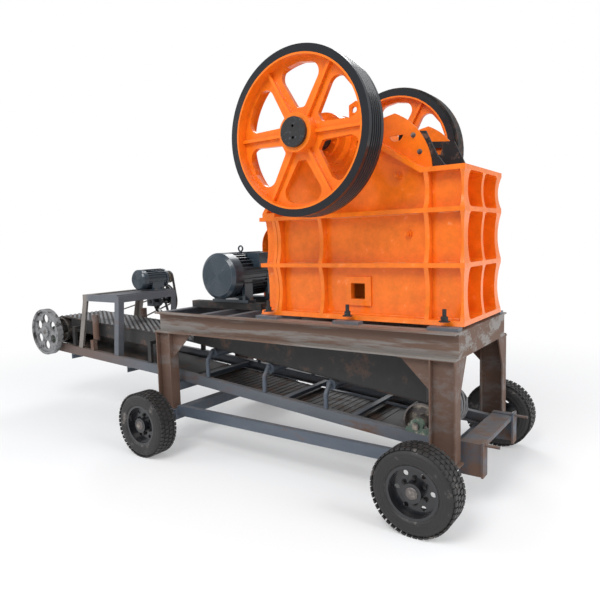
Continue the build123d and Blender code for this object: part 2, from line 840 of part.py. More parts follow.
def pitman():
    """Swing jaw casting: bearing barrel, face plate, three ribs, toggle seat and lifting lugs."""
    back = jaw_plate_thickness + tooth_height + weld_gap
    heel_back = back + pitman_plate * 2
    centre = (shaft_x, shaft_z)
    top = lean_point(jaw_length, back)
    foot = lean_point(0, back)
    foot_back = lean_point(0, back + pitman_plate)
    heel = lean_point(jaw_length * toggle_share, heel_back)
    face = [(shaft_x + barrel_radius * sin(jaw_lean), shaft_z + barrel_radius * cos(jaw_lean)),
            top, foot, foot_back, lean_point(jaw_length, back + pitman_plate), centre]
    rib = [barrel_tangent(pi), centre, top, foot_back, heel]
    seat_low = jaw_length * (toggle_share - seat_share)
    seat_high = jaw_length * (toggle_share + seat_share)
    seat = [lean_point(seat_low, back), lean_point(seat_high, back),
            lean_point(seat_high, heel_back), lean_point(seat_low, heel_back)]
    lug_x = shaft_x + lug_offset
    lug_top = shaft_z + lug_rise
    half = lug_width / 2
    lug = [(lug_x - half, shaft_z), (lug_x + half, shaft_z), (lug_x + half, lug_top - lug_crown),
           (lug_x + half / 3, lug_top), (lug_x - half, lug_top - lug_crown * 2)]
    body = rod(centre, barrel_radius, -pitman_half, pitman_half)
    body += side_plate_of(face, -pitman_half, pitman_half)
    for y in (pitman_rib / 2 - pitman_half, 0, pitman_half - pitman_rib / 2):
        body += side_plate_of(rib, y - pitman_rib / 2, y + pitman_rib / 2)
    body += side_plate_of(seat, -pitman_half, pitman_half)
    for side in (-1, 1):
        body += side_plate_of(lug, side * lug_reach, side * (lug_reach + pitman_rib / 2))
        body -= rod((lug_x, lug_top - lug_width * 0.7), half / 2, side * (lug_reach - overrun),
                    side * (lug_reach + overrun))
    return body - rod(centre, barrel_bore, -pitman_half - overrun, pitman_half + overrun)


def toggle_plate():
    """Round-ended strut between the rear seat and the heel of the swing jaw."""
    back = jaw_plate_thickness + tooth_height + weld_gap + pitman_plate * 2
    heel = lean_point(jaw_length * toggle_share, back + toggle_heel_gap + toggle_radius)
    rear = (rear_corner_x + toggle_beam_length, toggle_z)
    tilt = atan2(heel[1] - rear[1], heel[0] - rear[0])
    half = toggle_radius * toggle_web_share
    up = (-sin(tilt) * half, cos(tilt) * half)
    width = wall_inner - joint_clearance * 2
    web = [(rear[0] - up[0], rear[1] - up[1]), (heel[0] - up[0], heel[1] - up[1]),
           (heel[0] + up[0], heel[1] + up[1]), (rear[0] + up[0], rear[1] + up[1])]
    return joined([
        side_plate_of(web, -width, width),
        rod(heel, toggle_radius, -width, width),
        rod(rear, toggle_radius, -width, width),
    ])


def cheek_plate(side):
    """Liner of the crushing chamber's side, standing above the frame with a lifting notch."""
    front = fixed_jaw_x - weld_gap
    crown = [(front - cheek_reach * across, top_z + cheek_height * up)
             for across, up in zip(cheek_x_shares, cheek_z_shares)]
    outline = [(front, jaw_bottom_z)] + crown + [(front - cheek_reach, top_z),
                                                (moving_foot_x, jaw_bottom_z)]
    notch = [(front - cheek_reach * across, top_z + cheek_height * up)
             for across, up in zip(notch_x_shares, notch_z_shares)]
    return slab_of(face_of(outline) - face_of(notch), side * (wall_inner - weld_gap),
                   side * (wall_inner - cheek_thickness))


def bearing_housing(side):
    """Main bearing housing, its lower half in the wall's seat and its cap held at the lugs."""
    centre = (shaft_x, shaft_z)
    y0 = side * (wall_inner + joint_clearance)
    y1 = side * (half_frame + housing_reach)
    cover = y1 + side * housing_cover_thickness
    body = rod(centre, housing_radius, y0, y1)
    body += rod(centre, housing_cover_diameter / 2, y1, cover)
    body += block(shaft_x - housing_lug_reach, shaft_x + housing_lug_reach, side * wall_outer,
                  side * half_frame, shaft_z + weld_gap, shaft_z + housing_lug_height)
    return body - rod(centre, shaft_diameter / 2 + shaft_clearance, y0 - side * overrun,
                      cover + side * overrun)


def eccentric_shaft():
    """Main shaft, with the offset journal that the swing jaw hangs on and its two end caps."""
    end = flywheel_gap + flywheel_width
    journal = pitman_half * journal_share
    body = rod((shaft_x, shaft_z), shaft_diameter / 2, -end, end)
    body += rod((shaft_x + shaft_throw, shaft_z), shaft_diameter / 2, -journal, journal)
    for side in (-1, 1):
        outer = side * (end + cap_thickness)
        body += rod((shaft_x, shaft_z), cap_diameter / 2, side * end, outer)
        for way in (-1, 1):
            body -= rod((shaft_x, shaft_z + way * cap_hole_reach), cap_hole_diameter / 2,
                        side * end, outer + side * overrun)
    return body


def spoke_window(rim_in, hub):
    """Opening between two spokes, wide at the rim and rounded at every corner."""
    outer = rim_in - spoke_rim_margin
    inner = hub + spoke_hub_margin
    spread = radians(180 / spoke_count)
    near = (inner * sin(spread) - spoke_width / 2) / cos(spread)
    far = (outer * sin(spread) - spoke_width * 0.55) / cos(spread)
    window = face_of([(inner, -near), (outer * 0.93, -far), (outer, 0), (outer * 0.93, far),
                      (inner, near)])
    window = fillet(window.vertices().sort_by(Axis.X)[2:4], spoke_round)
    return fillet(window.vertices().sort_by(Axis.X)[:2], near * 0.8)


def flywheel(side):
    """Grooved rim, six webbed spokes with raised ribs, and hub."""
    inner = flywheel_gap
    outer = flywheel_gap + flywheel_width
    rim = flywheel_radius
    rim_in = rim * flywheel_rim_share
    hub = hub_diameter / 2
    bore = shaft_diameter / 2
    centre = (shaft_x, shaft_z)
    profile = [(rim_in, inner), (rim, inner)] + groove_profile(rim, flywheel_plane)
    body = turned_on_side(side, profile + [(rim, outer), (rim_in, outer)], centre)
    body += turned_on_side(side, [(bore, inner + hub_step), (hub, inner + hub_step), (hub, outer),
                                  (bore, outer)], centre)
    plane = Plane(origin=(shaft_x, side * flywheel_plane, shaft_z), x_dir=(1, 0, 0),
                  z_dir=(0, 1, 0))
    lap = flywheel_web / 16
    disc = Circle(rim_in + lap) - Circle(hub - lap)
    for turn in range(spoke_count):
        disc -= Rot(0, 0, 360 * (turn + 0.5) / spoke_count) * spoke_window(rim_in, hub)
    body += extrude(plane * disc, amount=flywheel_web / 2, both=True)
    rib = Pos((rim_in + hub) / 2, 0) * Rectangle(rim_in - hub + lap * 2, spoke_rib_width)
    ribs = Sketch() + [Rot(0, 0, 360 * turn / spoke_count) * rib for turn in range(spoke_count)]
    return body + extrude(plane * ribs, amount=flywheel_web / 2 + spoke_rib_rise, both=True)


def loop_outline(small, small_radius, large, large_radius):
    """Tangent points of an open belt round two wheels: upper pair, then lower pair."""
    gap = hypot(large[0] - small[0], large[1] - small[1])
    lean = atan2(large[1] - small[1], large[0] - small[0])
    spread = asin((large_radius - small_radius) / gap)
    upper = lean + pi / 2 + spread
    lower = lean - pi / 2 - spread

    def spot(centre, radius, angle):
        return (centre[0] + radius * cos(angle), centre[1] + radius * sin(angle))

    return (spot(small, small_radius, upper), spot(large, large_radius, upper),
            spot(large, large_radius, lower), spot(small, small_radius, lower), lean)


def belt_face(small, small_radius, large, large_radius):
    """Filled outline of an open belt loop round two wheels."""
    a, b, c, d, lean = loop_outline(small, small_radius, large, large_radius)
    far_side = (large[0] + large_radius * cos(lean), large[1] + large_radius * sin(lean))
    near_side = (small[0] - small_radius * cos(lean), small[1] - small_radius * sin(lean))
    edges = [Line(a, b), ThreePointArc(b, far_side, c), Line(c, d), ThreePointArc(d, near_side, a)]
    return make_face(Curve() + edges)


def loop_band(small, small_radius, large, large_radius, middle, width, thickness):
    """Closed band round two wheels, just clear of both."""
    small_in = small_radius + belt_clearance
    large_in = large_radius + belt_clearance
    band = belt_face(small, small_in + thickness, large, large_in + thickness)
    band -= belt_face(small, small_in, large, large_in)
    return slab_of(band, middle - width / 2, middle + width / 2)


def drive_belts():
    """The set of V-belts on the far side, as one closed band."""
    return loop_band((motor_x, motor_z), sheave_diameter / 2, (shaft_x, shaft_z), flywheel_radius,
                     flywheel_plane, belt_set_width, belt_thickness)


def motor_sheave():
    """Grooved pulley on the motor's shaft end."""
    half = belt_set_width / 2 + sheave_lip
    rim = sheave_diameter / 2
    bore = motor_shaft_diameter / 2
    profile = [(bore, -half), (rim, -half)] + groove_profile(rim, 0) + [(rim, half), (bore, half)]
    body = turned(profile, (motor_x, motor_z), flywheel_plane)
    return body + rod((motor_x, motor_z), bore, motor_front + joint_clearance,
                      flywheel_plane + half)


def fin_star(radius, thickness, pairs, centre, y0, y1):
    """Cooling fins of a motor: thin plates through its axis, evenly turned."""
    plane = Plane(origin=(centre[0], y1, centre[1]), x_dir=(1, 0, 0), z_dir=(0, -1, 0))
    plate = Rectangle(thickness, radius * 2)
    star = Sketch() + [Rot(0, 0, 180 * turn / pairs) * plate for turn in range(pairs)]
    return extrude(plane * star, amount=y1 - y0)


def motor():
    """Finned motor with fan cowl, end shields, feet and terminal box."""
    radius = motor_diameter / 2
    centre = (motor_x, motor_z)
    cowl_length = motor_cowl_end - motor_back
    cowl = turned([(0, 0), (radius * 0.86, 0), (radius, radius * 0.12), (radius, cowl_length),
                   (0, cowl_length)], centre, motor_back)
    body = joined([
        cowl,
        rod(centre, radius * core_share, motor_cowl_end, motor_body_end),
        rod(centre, radius * shield_radius_share, motor_body_end, motor_front),
        fin_star(radius, motor_fin, motor_fin_pairs, centre, motor_cowl_end, motor_body_end),
    ])
    foot_z = motor_z - motor_shaft_height
    reach = motor_foot_length + motor_foot_inset
    for y0, y1 in ((motor_cowl_end + motor_foot_inset, motor_cowl_end + reach),
                   (motor_body_end - reach, motor_body_end - motor_foot_inset)):
        body += block(motor_x - radius * 1.05, motor_x + radius * 1.05, y0, y1, foot_z,
                      foot_z + motor_foot_thickness)
        for way in (-1, 1):
            x0 = motor_x + way * radius * 0.9
            body += block(x0, x0 - way * motor_foot_web, y0, y1, foot_z, motor_z)
    box_x = motor_x + radius * 0.4
    box_y = motor_cowl_end + radius * 0.8
    return body + block(box_x, box_x + terminal_box_width, box_y, box_y + terminal_box_length,
                        motor_z + radius * 0.35, motor_z + radius * 0.95)


def slide_rails():
    """Two slotted bars under the motor's feet, along the belt pull."""
    x0 = beam_web - deck_length
    x1 = front_cross_beam_offset - deck_length
    width = slide_rail_width
    top = deck_height + slide_rail_height
    bodies = []
    for y0 in (motor_cowl_end + motor_foot_inset + slide_rail_inset,
               motor_body_end - motor_foot_inset - slide_rail_inset - width):
        slot = block(x0 + slide_slot_margin, x1 - slide_slot_margin, y0 + width / 3,
                     y0 + width * 2 / 3, deck_height - overrun, top + overrun)
        bodies.append(block(x0, x1, y0, y0 + width, deck_height, top) - slot)
    return Compound(bodies)


def belt_guard():
    """Round-shouldered sheet guard over the motor sheave, closed on its far side."""
    near = flywheel_gap - guard_near_margin
    far = flywheel_gap + flywheel_width + guard_far_margin
    x0 = motor_x - guard_offset
    front = x0 + guard_length
    base = deck_height + guard_foot
    spring_z = deck_height + guard_rise
    mid_x = x0 + guard_round
    diagonal = cos(pi / 4)

    def skin(inset):
        radius = guard_round - inset
        arc = ThreePointArc((x0 + inset, spring_z),
                            (mid_x - radius * diagonal, spring_z + radius * diagonal),
                            (mid_x, spring_z + radius))
        return [Line((x0 + inset, base), arc @ 0), arc]

    outer = skin(0)
    inner = skin(guard_sheet)
    ends = [Line(outer[0] @ 0, inner[0] @ 0), Line(outer[1] @ 1, inner[1] @ 1)]
    step = base + guard_round
    close = [Line(outer[1] @ 1, (mid_x, step)), Line((mid_x, step), (front, step)),
             Line((front, step), (front, base)), Line((front, base), outer[0] @ 0)]
    band = slab_of(make_face(Curve() + outer + inner + ends), near, far)
    back = slab_of(make_face(Curve() + outer + close), far - guard_sheet, far)
    foot = block(x0, front, half_base, far, deck_height, base)
    return band + back + foot


def shims():
    """Packing plates between the crusher's base and the deck, one at each base bolt."""
    return Compound([
        block(x - shim_length / 2, x + shim_length / 2, side * (half_base - shim_width),
              side * half_base, deck_height, base_z)
        for x in shim_spots for side in (-1, 1)])


def conveyor_rail(side):
    """Bent channel rail, web outward, from the tail box to the head bearings."""
    corners = [(0, rail_z(0)), (-kink_setback, rail_kink_height),
               (-rail_head_setback, rail_head_height)]

    def strip(top, drop, y0, y1):
        upper = [(x, z - top) for x, z in corners]
        lower = [(x, z - drop) for x, z in reversed(corners)]
        return side_plate_of(upper + lower, y0, y1)

    web_out = side * half_gauge
    flange_in = side * (half_gauge - rail_flange)
    return joined([
        strip(0, rail_depth, web_out, side * (half_gauge - rail_steel)),
        strip(0, rail_steel, web_out, flange_in),
        strip(rail_depth - rail_steel, rail_depth, web_out, flange_in),
    ])


def tail_box(side):
    """Take-up box at the rail's tail end, with its end plate and tension screw."""
    x0 = -tail_box_length / 4
    x1 = x0 + tail_box_length
    top = rail_tail_height + tail_box_rise
    low = top - tail_box_depth
    y_out = side * (half_gauge + weld_gap + rail_steel)
    y_in = side * (half_gauge - rail_flange)
    screw = Pos((x0 + take_up_reach) / 2, side * (half_gauge - rail_flange / 2),
                top - take_up_drop) * Rot(0, 90, 0)
    return joined([
        block(x0, x1, y_out, y_out - side * rail_steel, low, top),
        block(x0, x1, y_out, y_in, top - rail_steel, top),
        block(x1 - tail_plate, x1, y_out + side * tail_plate_outer,
              y_in - side * tail_plate_inner, low, top + tail_plate_rise),
        screw * Cylinder(take_up_screw / 2, take_up_reach - x0),
    ])


def tail_frame():
    """Take-up boxes of both rails with the wide plate that ties them together."""
    x0 = -tail_box_length / 4
    x1 = x0 + tail_box_length - tail_plate
    reach = half_gauge - rail_flange / 2
    top = rail_tail_height + tail_box_rise - rail_steel
    return joined([
        block(x0, x1, -reach, reach, top - tail_tie_sheet, top),
        block(x1 - tail_tie_sheet, x1, -reach, reach, top - tail_tie_lip, top),
        tail_box(-1),
        tail_box(1),
    ])


def touch_point(centre, point, radius, way):
    """Where a line from point touches a circle; way chooses one of the two sides."""
    gap = hypot(point[0] - centre[0], point[1] - centre[1])
    angle = atan2(point[1] - centre[1], point[0] - centre[0]) + way * acos(radius / gap)
    return (centre[0] + radius * cos(angle), centre[1] + radius * sin(angle))


def conveyor_loop(radius, upper_height, lower_height):
    """Filled outline of the conveyor belt round both drums, with its knee above the rails' knee."""
    head = (-head_drum_setback, head_drum_height)
    tail = (-tail_drum_setback, tail_drum_height)
    upper = (-kink_setback, upper_height)
    lower = (-kink_setback, lower_height)
    head_top = touch_point(head, upper, radius, 1)
    tail_top = touch_point(tail, upper, radius, -1)
    head_low = touch_point(head, lower, radius, -1)
    tail_low = touch_point(tail, lower, radius, 1)
    return make_face(Curve() + [
        Line(tail_top, upper), Line(upper, head_top),
        ThreePointArc(head_top, (head[0] - radius, head[1]), head_low),
        Line(head_low, lower), Line(lower, tail_low),
        ThreePointArc(tail_low, (tail[0] + radius, tail[1]), tail_top)])


def conveyor_belt():
    """Rubber belt as one closed loop round both drums."""
    inner = drum_radius + belt_fit
    thickness = conveyor_belt_thickness
    band = conveyor_loop(inner + thickness, belt_kink_height, return_kink_height)
    band -= conveyor_loop(inner, belt_kink_height - thickness, return_kink_height + thickness)
    return slab_of(band, -conveyor_belt_width / 2, conveyor_belt_width / 2)


def drum(setback, height, reach_near, reach_far):
    """Hollow conveyor drum with end discs and a shaft."""
    centre = (-setback, height)
    half = drum_face / 2
    body = rod(centre, drum_radius, -half, half)
    for side in (-1, 1):
        body -= rod(centre, drum_radius - drum_shell, side * (half - drum_recess),
                    side * (half + overrun))
    body += rod(centre, drum_shaft_diameter * 0.9, -half, half)
    return body + rod(centre, drum_shaft_diameter / 2, reach_near, reach_far)


def sprocket(centre, diameter):
    """Disc of a chain wheel in the plane of the head drive."""
    return rod(centre, diameter / 2, sprocket_plane - sprocket_width / 2,
               sprocket_plane + sprocket_width / 2)


def head_drum():
    """Head drum with its shaft and the sprocket on its far end."""
    body = drum(head_drum_setback, head_drum_height, -half_gauge - head_wheel_standoff,
                sprocket_plane + sprocket_width)
    return body + sprocket((-head_drum_setback, head_drum_height), head_sprocket_diameter)


def tail_drum():
    """Tail drum, turned by the belt."""
    reach = half_gauge + drum_shaft_overhang
    return drum(tail_drum_setback, tail_drum_height, -reach, reach)


def pillow_block(setback, height, side):
    """Bearing block whose wedge foot stands on the sloping rail."""
    centre = (-setback, height)
    half = bearing_foot_length / 2
    y0 = side * (bearing_y - bearing_width / 2)
    y1 = side * (bearing_y + bearing_width / 2)
    foot_z = rail_z(-setback) + bearing_foot_lift
    wedge = [(-setback - half, rail_z(-setback - half) + weld_gap),
             (-setback + half, rail_z(-setback + half) + weld_gap),
             (-setback + half, foot_z + bearing_foot_thickness),
             (-setback - half, foot_z + bearing_foot_thickness)]
    neck = bearing_neck / 2
    body = joined([
        rod(centre, bearing_diameter / 2, y0, y1),
        block(-setback - neck, -setback + neck, y0, y1, foot_z, height),
        side_plate_of(wedge, y0, y1),
    ])
    return body - rod(centre, drum_shaft_diameter / 2 + shaft_clearance, y0 - side * overrun,
                      y1 + side * overrun)


def bearing_blocks():
    """The four bearing blocks of the two conveyor drums."""
    spots = ((head_drum_setback, head_drum_height), (tail_drum_setback, tail_drum_height))
    return Compound([pillow_block(setback, height, side) for setback, height in spots
                     for side in (-1, 1)])


def head_wheel():
    """Six-hole cast wheel on the near end of the head shaft."""
    radius = head_wheel_diameter / 2
    outer = -half_gauge - head_wheel_standoff
    inner = outer + head_wheel_width
    centre = (-head_drum_setback, head_drum_height)
    bore = drum_shaft_diameter / 2
    web_outer = outer + head_wheel_width * 0.3
    web_inner = outer + head_wheel_width * 0.62
    rim = radius * wheel_rim_share
    hub = radius * wheel_hub_share
    profile = [(bore, outer), (hub, outer), (hub, web_outer), (rim, web_outer), (rim, outer),
               (radius, outer), (radius, inner), (rim, inner), (rim, web_inner), (hub, web_inner),
               (hub, inner), (bore, inner)]
    body = turned(profile, centre)
    ring = radius * wheel_hole_ring_share
    for turn in range(head_wheel_holes):
        angle = 2 * pi * (turn + 0.5) / head_wheel_holes
        body -= rod((centre[0] + ring * cos(angle), centre[1] + ring * sin(angle)),
                    radius * head_hole_share, outer - overrun, inner + overrun)
    return body


def idler_station(setback):
    """Carrying roller between two pipe brackets that bend in from the rails."""
    z_axis = belt_z(-setback) - conveyor_belt_thickness - roller_diameter / 2 - idler_clearance
    half = conveyor_belt_width / 2 + idler_overhang
    pipe = bracket_pipe / 2
    station = rod((-setback, z_axis), roller_diameter / 2, -half, half)
    for side in (-1, 1):
        y_foot = side * (half_gauge - rail_flange / 2)
        y_end = side * (half + pipe * 0.8)
        knee = z_axis - (abs(y_foot) - abs(y_end)) * 0.9
        path = FilletPolyline((-setback, y_foot, rail_z(-setback - pipe) + weld_gap),
                              (-setback, y_foot, knee),
                              (-setback, y_end, z_axis + pipe), radius=bracket_bend)
        ring = Plane(origin=path @ 0, z_dir=path % 0) * Circle(pipe)
        station += sweep(ring, path=path)
    return station


def idler_stations():
    """All carrying rollers with their brackets."""
    return Compound([idler_station(kink_setback * share) for share in idler_shares])


def slider_bed():
    """Folded steel bed under the belt's head stretch, on short posts from the rails."""
    x0 = -head_drum_setback + drum_radius + bed_head_margin
    x1 = -kink_setback - bed_kink_margin
    half = conveyor_belt_width / 2 - bed_inset
    under = conveyor_belt_thickness + bed_gap

    def strip(top, low, y0, y1):
        outline = [(x0, belt_z(x0) - top), (x1, belt_z(x1) - top),
                   (x1, belt_z(x1) - low), (x0, belt_z(x0) - low)]
        return side_plate_of(outline, y0, y1)

    bodies = [strip(under, under + bed_sheet, -half, half)]
    for side in (-1, 1):
        bodies.append(strip(under, under + bed_drop, side * half, side * (half - bed_sheet)))
        for share in bed_post_shares:
            x = x0 + (x1 - x0) * share - bed_post / 2
            y0 = side * (half_gauge - bed_post_inset)
            y1 = side * (half_gauge - bed_post_inset - bed_post_thickness)
            top = belt_z(x + bed_post / 2) - under - bed_drop * 0.4
            head = top - bed_drop / 4
            foot = rail_z(x) + weld_gap
            bracket = [(y0, foot), (y1, foot), (y1, head), (side * half, head),
                       (side * half, top), (y0, top)]
            bodies.append(cross_plate_of(bracket, x, x + bed_post))
    return joined(bodies)


def cross_angle(x, lift, width, reach):
    """Angle bar across the conveyor, level leg on top."""
    outline = angle_outline(x, lift, width, width, rail_steel)
    return side_plate_of(outline, -reach, reach)


def cross_members():
    """Angles that tie the two conveyor rails together, between their webs and then under them."""
    bodies = []
    for share in tail_angle_shares:
        x = -kink_setback * share
        bodies.append(cross_angle(x, rail_z(x + tail_angle) - rail_steel - angle_gap, tail_angle,
                                  half_gauge - rail_steel - weld_gap))
    for share in head_angle_shares:
        x = -kink_setback - rail_head_run * share
        bodies.append(cross_angle(x, rail_z(x + head_angle) - rail_depth - weld_gap, head_angle,
                                  half_gauge))
    return bodies


def rail_saddles():
    """Cross bar between the rear legs and seats on the front axle that carry the rails."""
    reach = half_deck - leg_flange / 2 - leg_web / 2 - weld_gap
    x0 = -deck_length + leg_flange_thickness + saddle_inset
    x1 = x0 + saddle_size
    top = rail_z((x0 + x1) / 2) - rail_depth - saddle_gap
    bodies = [block(x0, x1, -reach, reach, top - saddle_size, top)]
    x0 = -front_axle_setback - saddle_seat / 2
    x1 = -front_axle_setback + saddle_seat / 2
    drop = rail_depth + weld_gap
    if rail_z(x1) - drop > leg_foot_z:
        seat = [(x0, leg_foot_z), (x1, leg_foot_z), (x1, rail_z(x1) - drop), (x0, rail_z(x0) - drop)]
        for side in (-1, 1):
            bodies.append(side_plate_of(seat, side * (half_gauge - rail_flange),
                                        side * half_gauge))
    return bodies


def skirt_boards():
    """Skirt boards under the deck that keep the crushed stone on the belt, with their end plate."""
    x0 = skirt_rear_offset - deck_length
    x1 = -skirt_front_setback
    outline = [(x0, belt_z(x0) + skirt_lift), (x1, belt_z(x1) + skirt_lift), (x1, skirt_top),
               (x0, skirt_top)]
    edge = skirt_y + skirt_sheet
    return joined([
        block(x1, x1 + skirt_sheet, -edge, edge, belt_z(x1) + skirt_lift, skirt_top),
        side_plate_of(outline, -skirt_y, -edge),
        side_plate_of(outline, skirt_y, edge),
    ])


def guide_rollers():
    """Upright rollers on posts that keep the belt's edges in line."""
    x = -kink_setback - guide_run
    low = belt_z(x) - guide_below
    high = belt_z(x) + guide_above
    shelf = low - guide_gap
    half = guide_post / 2
    bodies = []
    for side in (-1, 1):
        y = side * (conveyor_belt_width / 2 + guide_margin)
        y_post = side * (half_gauge - half)
        bodies.append(joined([
            post(x, y, guide_roller_diameter / 2, low, high),
            post(x, y, guide_pin_diameter / 2, shelf - guide_plate, low),
            block(x - half, x + half, y - side * half, y_post + side * half,
                  shelf - guide_plate, shelf),
            block(x - half, x + half, y_post - side * half, y_post + side * half,
                  rail_z(x - half) + weld_gap, shelf - guide_plate),
        ]))
    return Compound(bodies)


def stand_leg(side, top_x, foot_x, way):
    """One splayed angle-section leg of the motor stand, cut to the slope of the rail."""
    y = side * (half_gauge - stand_inset)
    head = stand_height - stand_angle

    def plate(width, depth):
        outline = [(top_x, head), (top_x + way * width, head),
                   (foot_x + way * width, rail_z(foot_x + way * width) + weld_gap),
                   (foot_x, rail_z(foot_x) + weld_gap)]
        return side_plate_of(outline, y, y - side * depth)

    return [plate(stand_angle, stand_steel), plate(stand_steel, stand_angle)]


def stand():
    """Four-legged angle frame over the belt, with the motor's plate and the countershaft hangers."""
    reach = half_gauge - stand_inset
    plate_x = -small_motor_setback
    bodies = [block(plate_x - stand_plate / 2, plate_x + stand_plate / 2, -reach, reach,
                    stand_height, stand_height + stand_plate_thickness)]
    for side in (-1, 1):
        section = angle_outline(0, stand_height, stand_angle, stand_angle, stand_steel)
        bodies.append(cross_plate_of(placed_outline(section, -side, side * reach, 0),
                                     -stand_back, -stand_front))
        bodies += stand_leg(side, -stand_front, -stand_front - stand_front_splay, -1)
        bodies += stand_leg(side, -stand_back, -stand_back - stand_back_splay, 1)
    for x, way in ((-stand_front, -1), (-stand_back, 1)):
        section = angle_outline(0, stand_height, stand_angle, stand_angle, stand_steel)
        bodies.append(side_plate_of(placed_outline(section, way, x, 0), -reach, reach))
    half = hanger_width / 2
    for y in (hanger_near, hanger_far):
        bodies.append(block(counter_x - half, counter_x + half, y, y + hanger_sheet,
                            counter_z - half, stand_height))
    return joined(bodies) - rod((counter_x, counter_z),
                                counter_shaft_diameter / 2 + shaft_clearance,
                                hanger_near - overrun, hanger_far + overrun)


def small_motor():
    """Finned conveyor motor on its plate, fan cowl towards the near side."""
    radius = small_motor_diameter / 2
    centre = (-small_motor_setback, small_motor_z)
    length = small_motor_length
    core = radius * core_share
    cowl_end = length * cowl_share
    body_end = length * shield_share
    cowl = turned([(0, 0), (core, 0), (radius, radius - core), (radius, cowl_end), (0, cowl_end)],
                  centre)
    bodies = [
        cowl,
        rod(centre, core, cowl_end, body_end),
        rod(centre, radius * shield_radius_share, body_end, length),
        fin_star(radius, small_motor_fin, small_motor_fin_pairs, centre, cowl_end, body_end),
    ]
    foot_z = stand_height + stand_plate_thickness
    y0 = length * 0.35
    y1 = length * 0.8
    bodies.append(block(centre[0] - radius * 1.05, centre[0] + radius * 1.05, y0, y1, foot_z,
                        foot_z + small_motor_foot))
    for way in (-1, 1):
        x0 = centre[0] + way * core
        bodies.append(block(x0, x0 - way * small_motor_foot, y0, y1, foot_z, centre[1]))
    return joined(bodies)


def grooved_rim(diameter, width):
    """Rim line of a pulley with one belt groove, as (radius, y) pairs about its middle plane."""
    radius = diameter / 2
    groove = width * 0.3
    return [(radius, -width / 2), (radius, -groove), (radius - groove, -groove / 2),
            (radius - groove, groove / 2), (radius, groove), (radius, width / 2)]


def small_pulley():
    """Pulley and shaft end of the conveyor motor."""
    centre = (-small_motor_setback, small_motor_z)
    half = counter_pulley_width / 2
    rim = grooved_rim(small_pulley_diameter, counter_pulley_width)
    body = turned([(0, -half)] + rim + [(0, half)], centre, counter_plane)
    return body + rod(centre, small_motor_shaft_diameter / 2, small_motor_length + joint_clearance,
                      counter_plane + half)


def counter_pulley():
    """Countershaft under the stand with its spoked pulley and its small sprocket."""
    centre = (counter_x, counter_z)
    radius = counter_pulley_diameter / 2
    half = counter_pulley_width / 2
    rim_in = radius * counter_rim_share
    rim = grooved_rim(counter_pulley_diameter, counter_pulley_width)
    plane = Plane(origin=(counter_x, counter_plane, counter_z), x_dir=(1, 0, 0), z_dir=(0, 1, 0))
    spoke = Pos(rim_in / 2, 0) * Rectangle(rim_in * 1.05, counter_pulley_width * 0.6)
    spokes = Sketch() + [Rot(0, 0, 360 * turn / counter_spokes) * spoke
                         for turn in range(counter_spokes)]
    return joined([
        turned([(rim_in, -half)] + rim + [(rim_in, half)], centre, counter_plane),
        extrude(plane * spokes, amount=half * 0.3, both=True),
        rod(centre, counter_shaft_diameter, counter_plane - half, counter_plane + half),
        rod(centre, counter_shaft_diameter / 2, hanger_near - joint_clearance * 2,
            sprocket_plane + sprocket_width),
        sprocket(centre, sprocket_diameter),
    ])


def conveyor_drive_belt():
    """Belt from the conveyor motor to the countershaft."""
    return loop_band((-small_motor_setback, small_motor_z), small_pulley_diameter / 2,
                     (counter_x, counter_z), counter_pulley_diameter / 2, counter_plane,
                     counter_pulley_width * 0.6, belt_thickness * 0.6)


def head_drive_chain():
    """Chain from the countershaft to the head drum."""
    return loop_band((counter_x, counter_z), sprocket_diameter / 2,
                     (-head_drum_setback, head_drum_height), head_sprocket_diameter / 2,
                     sprocket_plane, chain_width, chain_thickness)


both_sides("side_beam", deck_beam)
parts["end_beam_front"] = end_beam(0, -1)
parts["rear_deck_beams"] = rear_beams()
both_sides("leg_front", lambda side: leg(side, 0, -1))
both_sides("leg_rear", lambda side: leg(side, -deck_length, 1))
parts["axle_front"] = axle(front_axle_setback)
parts["axle_rear"] = axle(rear_axle_setback)
for corner, setback in (("front", front_axle_setback), ("rear", rear_axle_setback)):
    for label, side in (("near", -1), ("far", 1)):
        parts["rim_" + corner + "_" + label] = wheel_rim(side, setback)
        parts["tyre_" + corner + "_" + label] = tyre(side, setback)
both_sides("axle_tie", tie)
both_sides("side_wall", side_wall)
parts["front_wall"] = front_wall()
parts["rear_wall"] = rear_wall()
parts["base_shims"] = shims()
parts["fixed_jaw_plate"] = fixed_jaw()
parts["moving_jaw_plate"] = moving_jaw()
parts["pitman"] = pitman()
parts["toggle_plate"] = toggle_plate()
both_sides("cheek_plate", cheek_plate)
both_sides("bearing_housing", bearing_housing)
parts["eccentric_shaft"] = eccentric_shaft()
both_sides("flywheel", flywheel)
parts["drive_belts"] = drive_belts()
parts["motor_sheave"] = motor_sheave()
parts["main_motor"] = motor()
parts["slide_rails"] = slide_rails()
parts["belt_guard"] = belt_guard()
both_sides("conveyor_rail", conveyor_rail)
parts["tail_frame"] = tail_frame()
parts["conveyor_belt"] = conveyor_belt()
parts["head_drum"] = head_drum()
parts["tail_drum"] = tail_drum()
parts["bearing_blocks"] = bearing_blocks()
parts["head_wheel"] = head_wheel()
parts["idler_stations"] = idler_stations()
parts["slider_bed"] = slider_bed()
parts["rail_cross_members"] = Compound(cross_members() + rail_saddles())
parts["skirt_boards"] = skirt_boards()
parts["guide_rollers"] = guide_rollers()
parts["motor_stand"] = stand()
parts["conveyor_motor"] = small_motor()
parts["conveyor_motor_pulley"] = small_pulley()
parts["countershaft_pulley"] = counter_pulley()
parts["conveyor_drive_belt"] = conveyor_drive_belt()
parts["head_drive_chain"] = head_drive_chain()

os.makedirs("parts", exist_ok=True)
for name, piece in parts.items():
    solid = Compound(list(piece)) if isinstance(piece, list) else piece
    export_step(Pos(centre_shift, 0, 0) * solid, "parts/" + name + ".step")
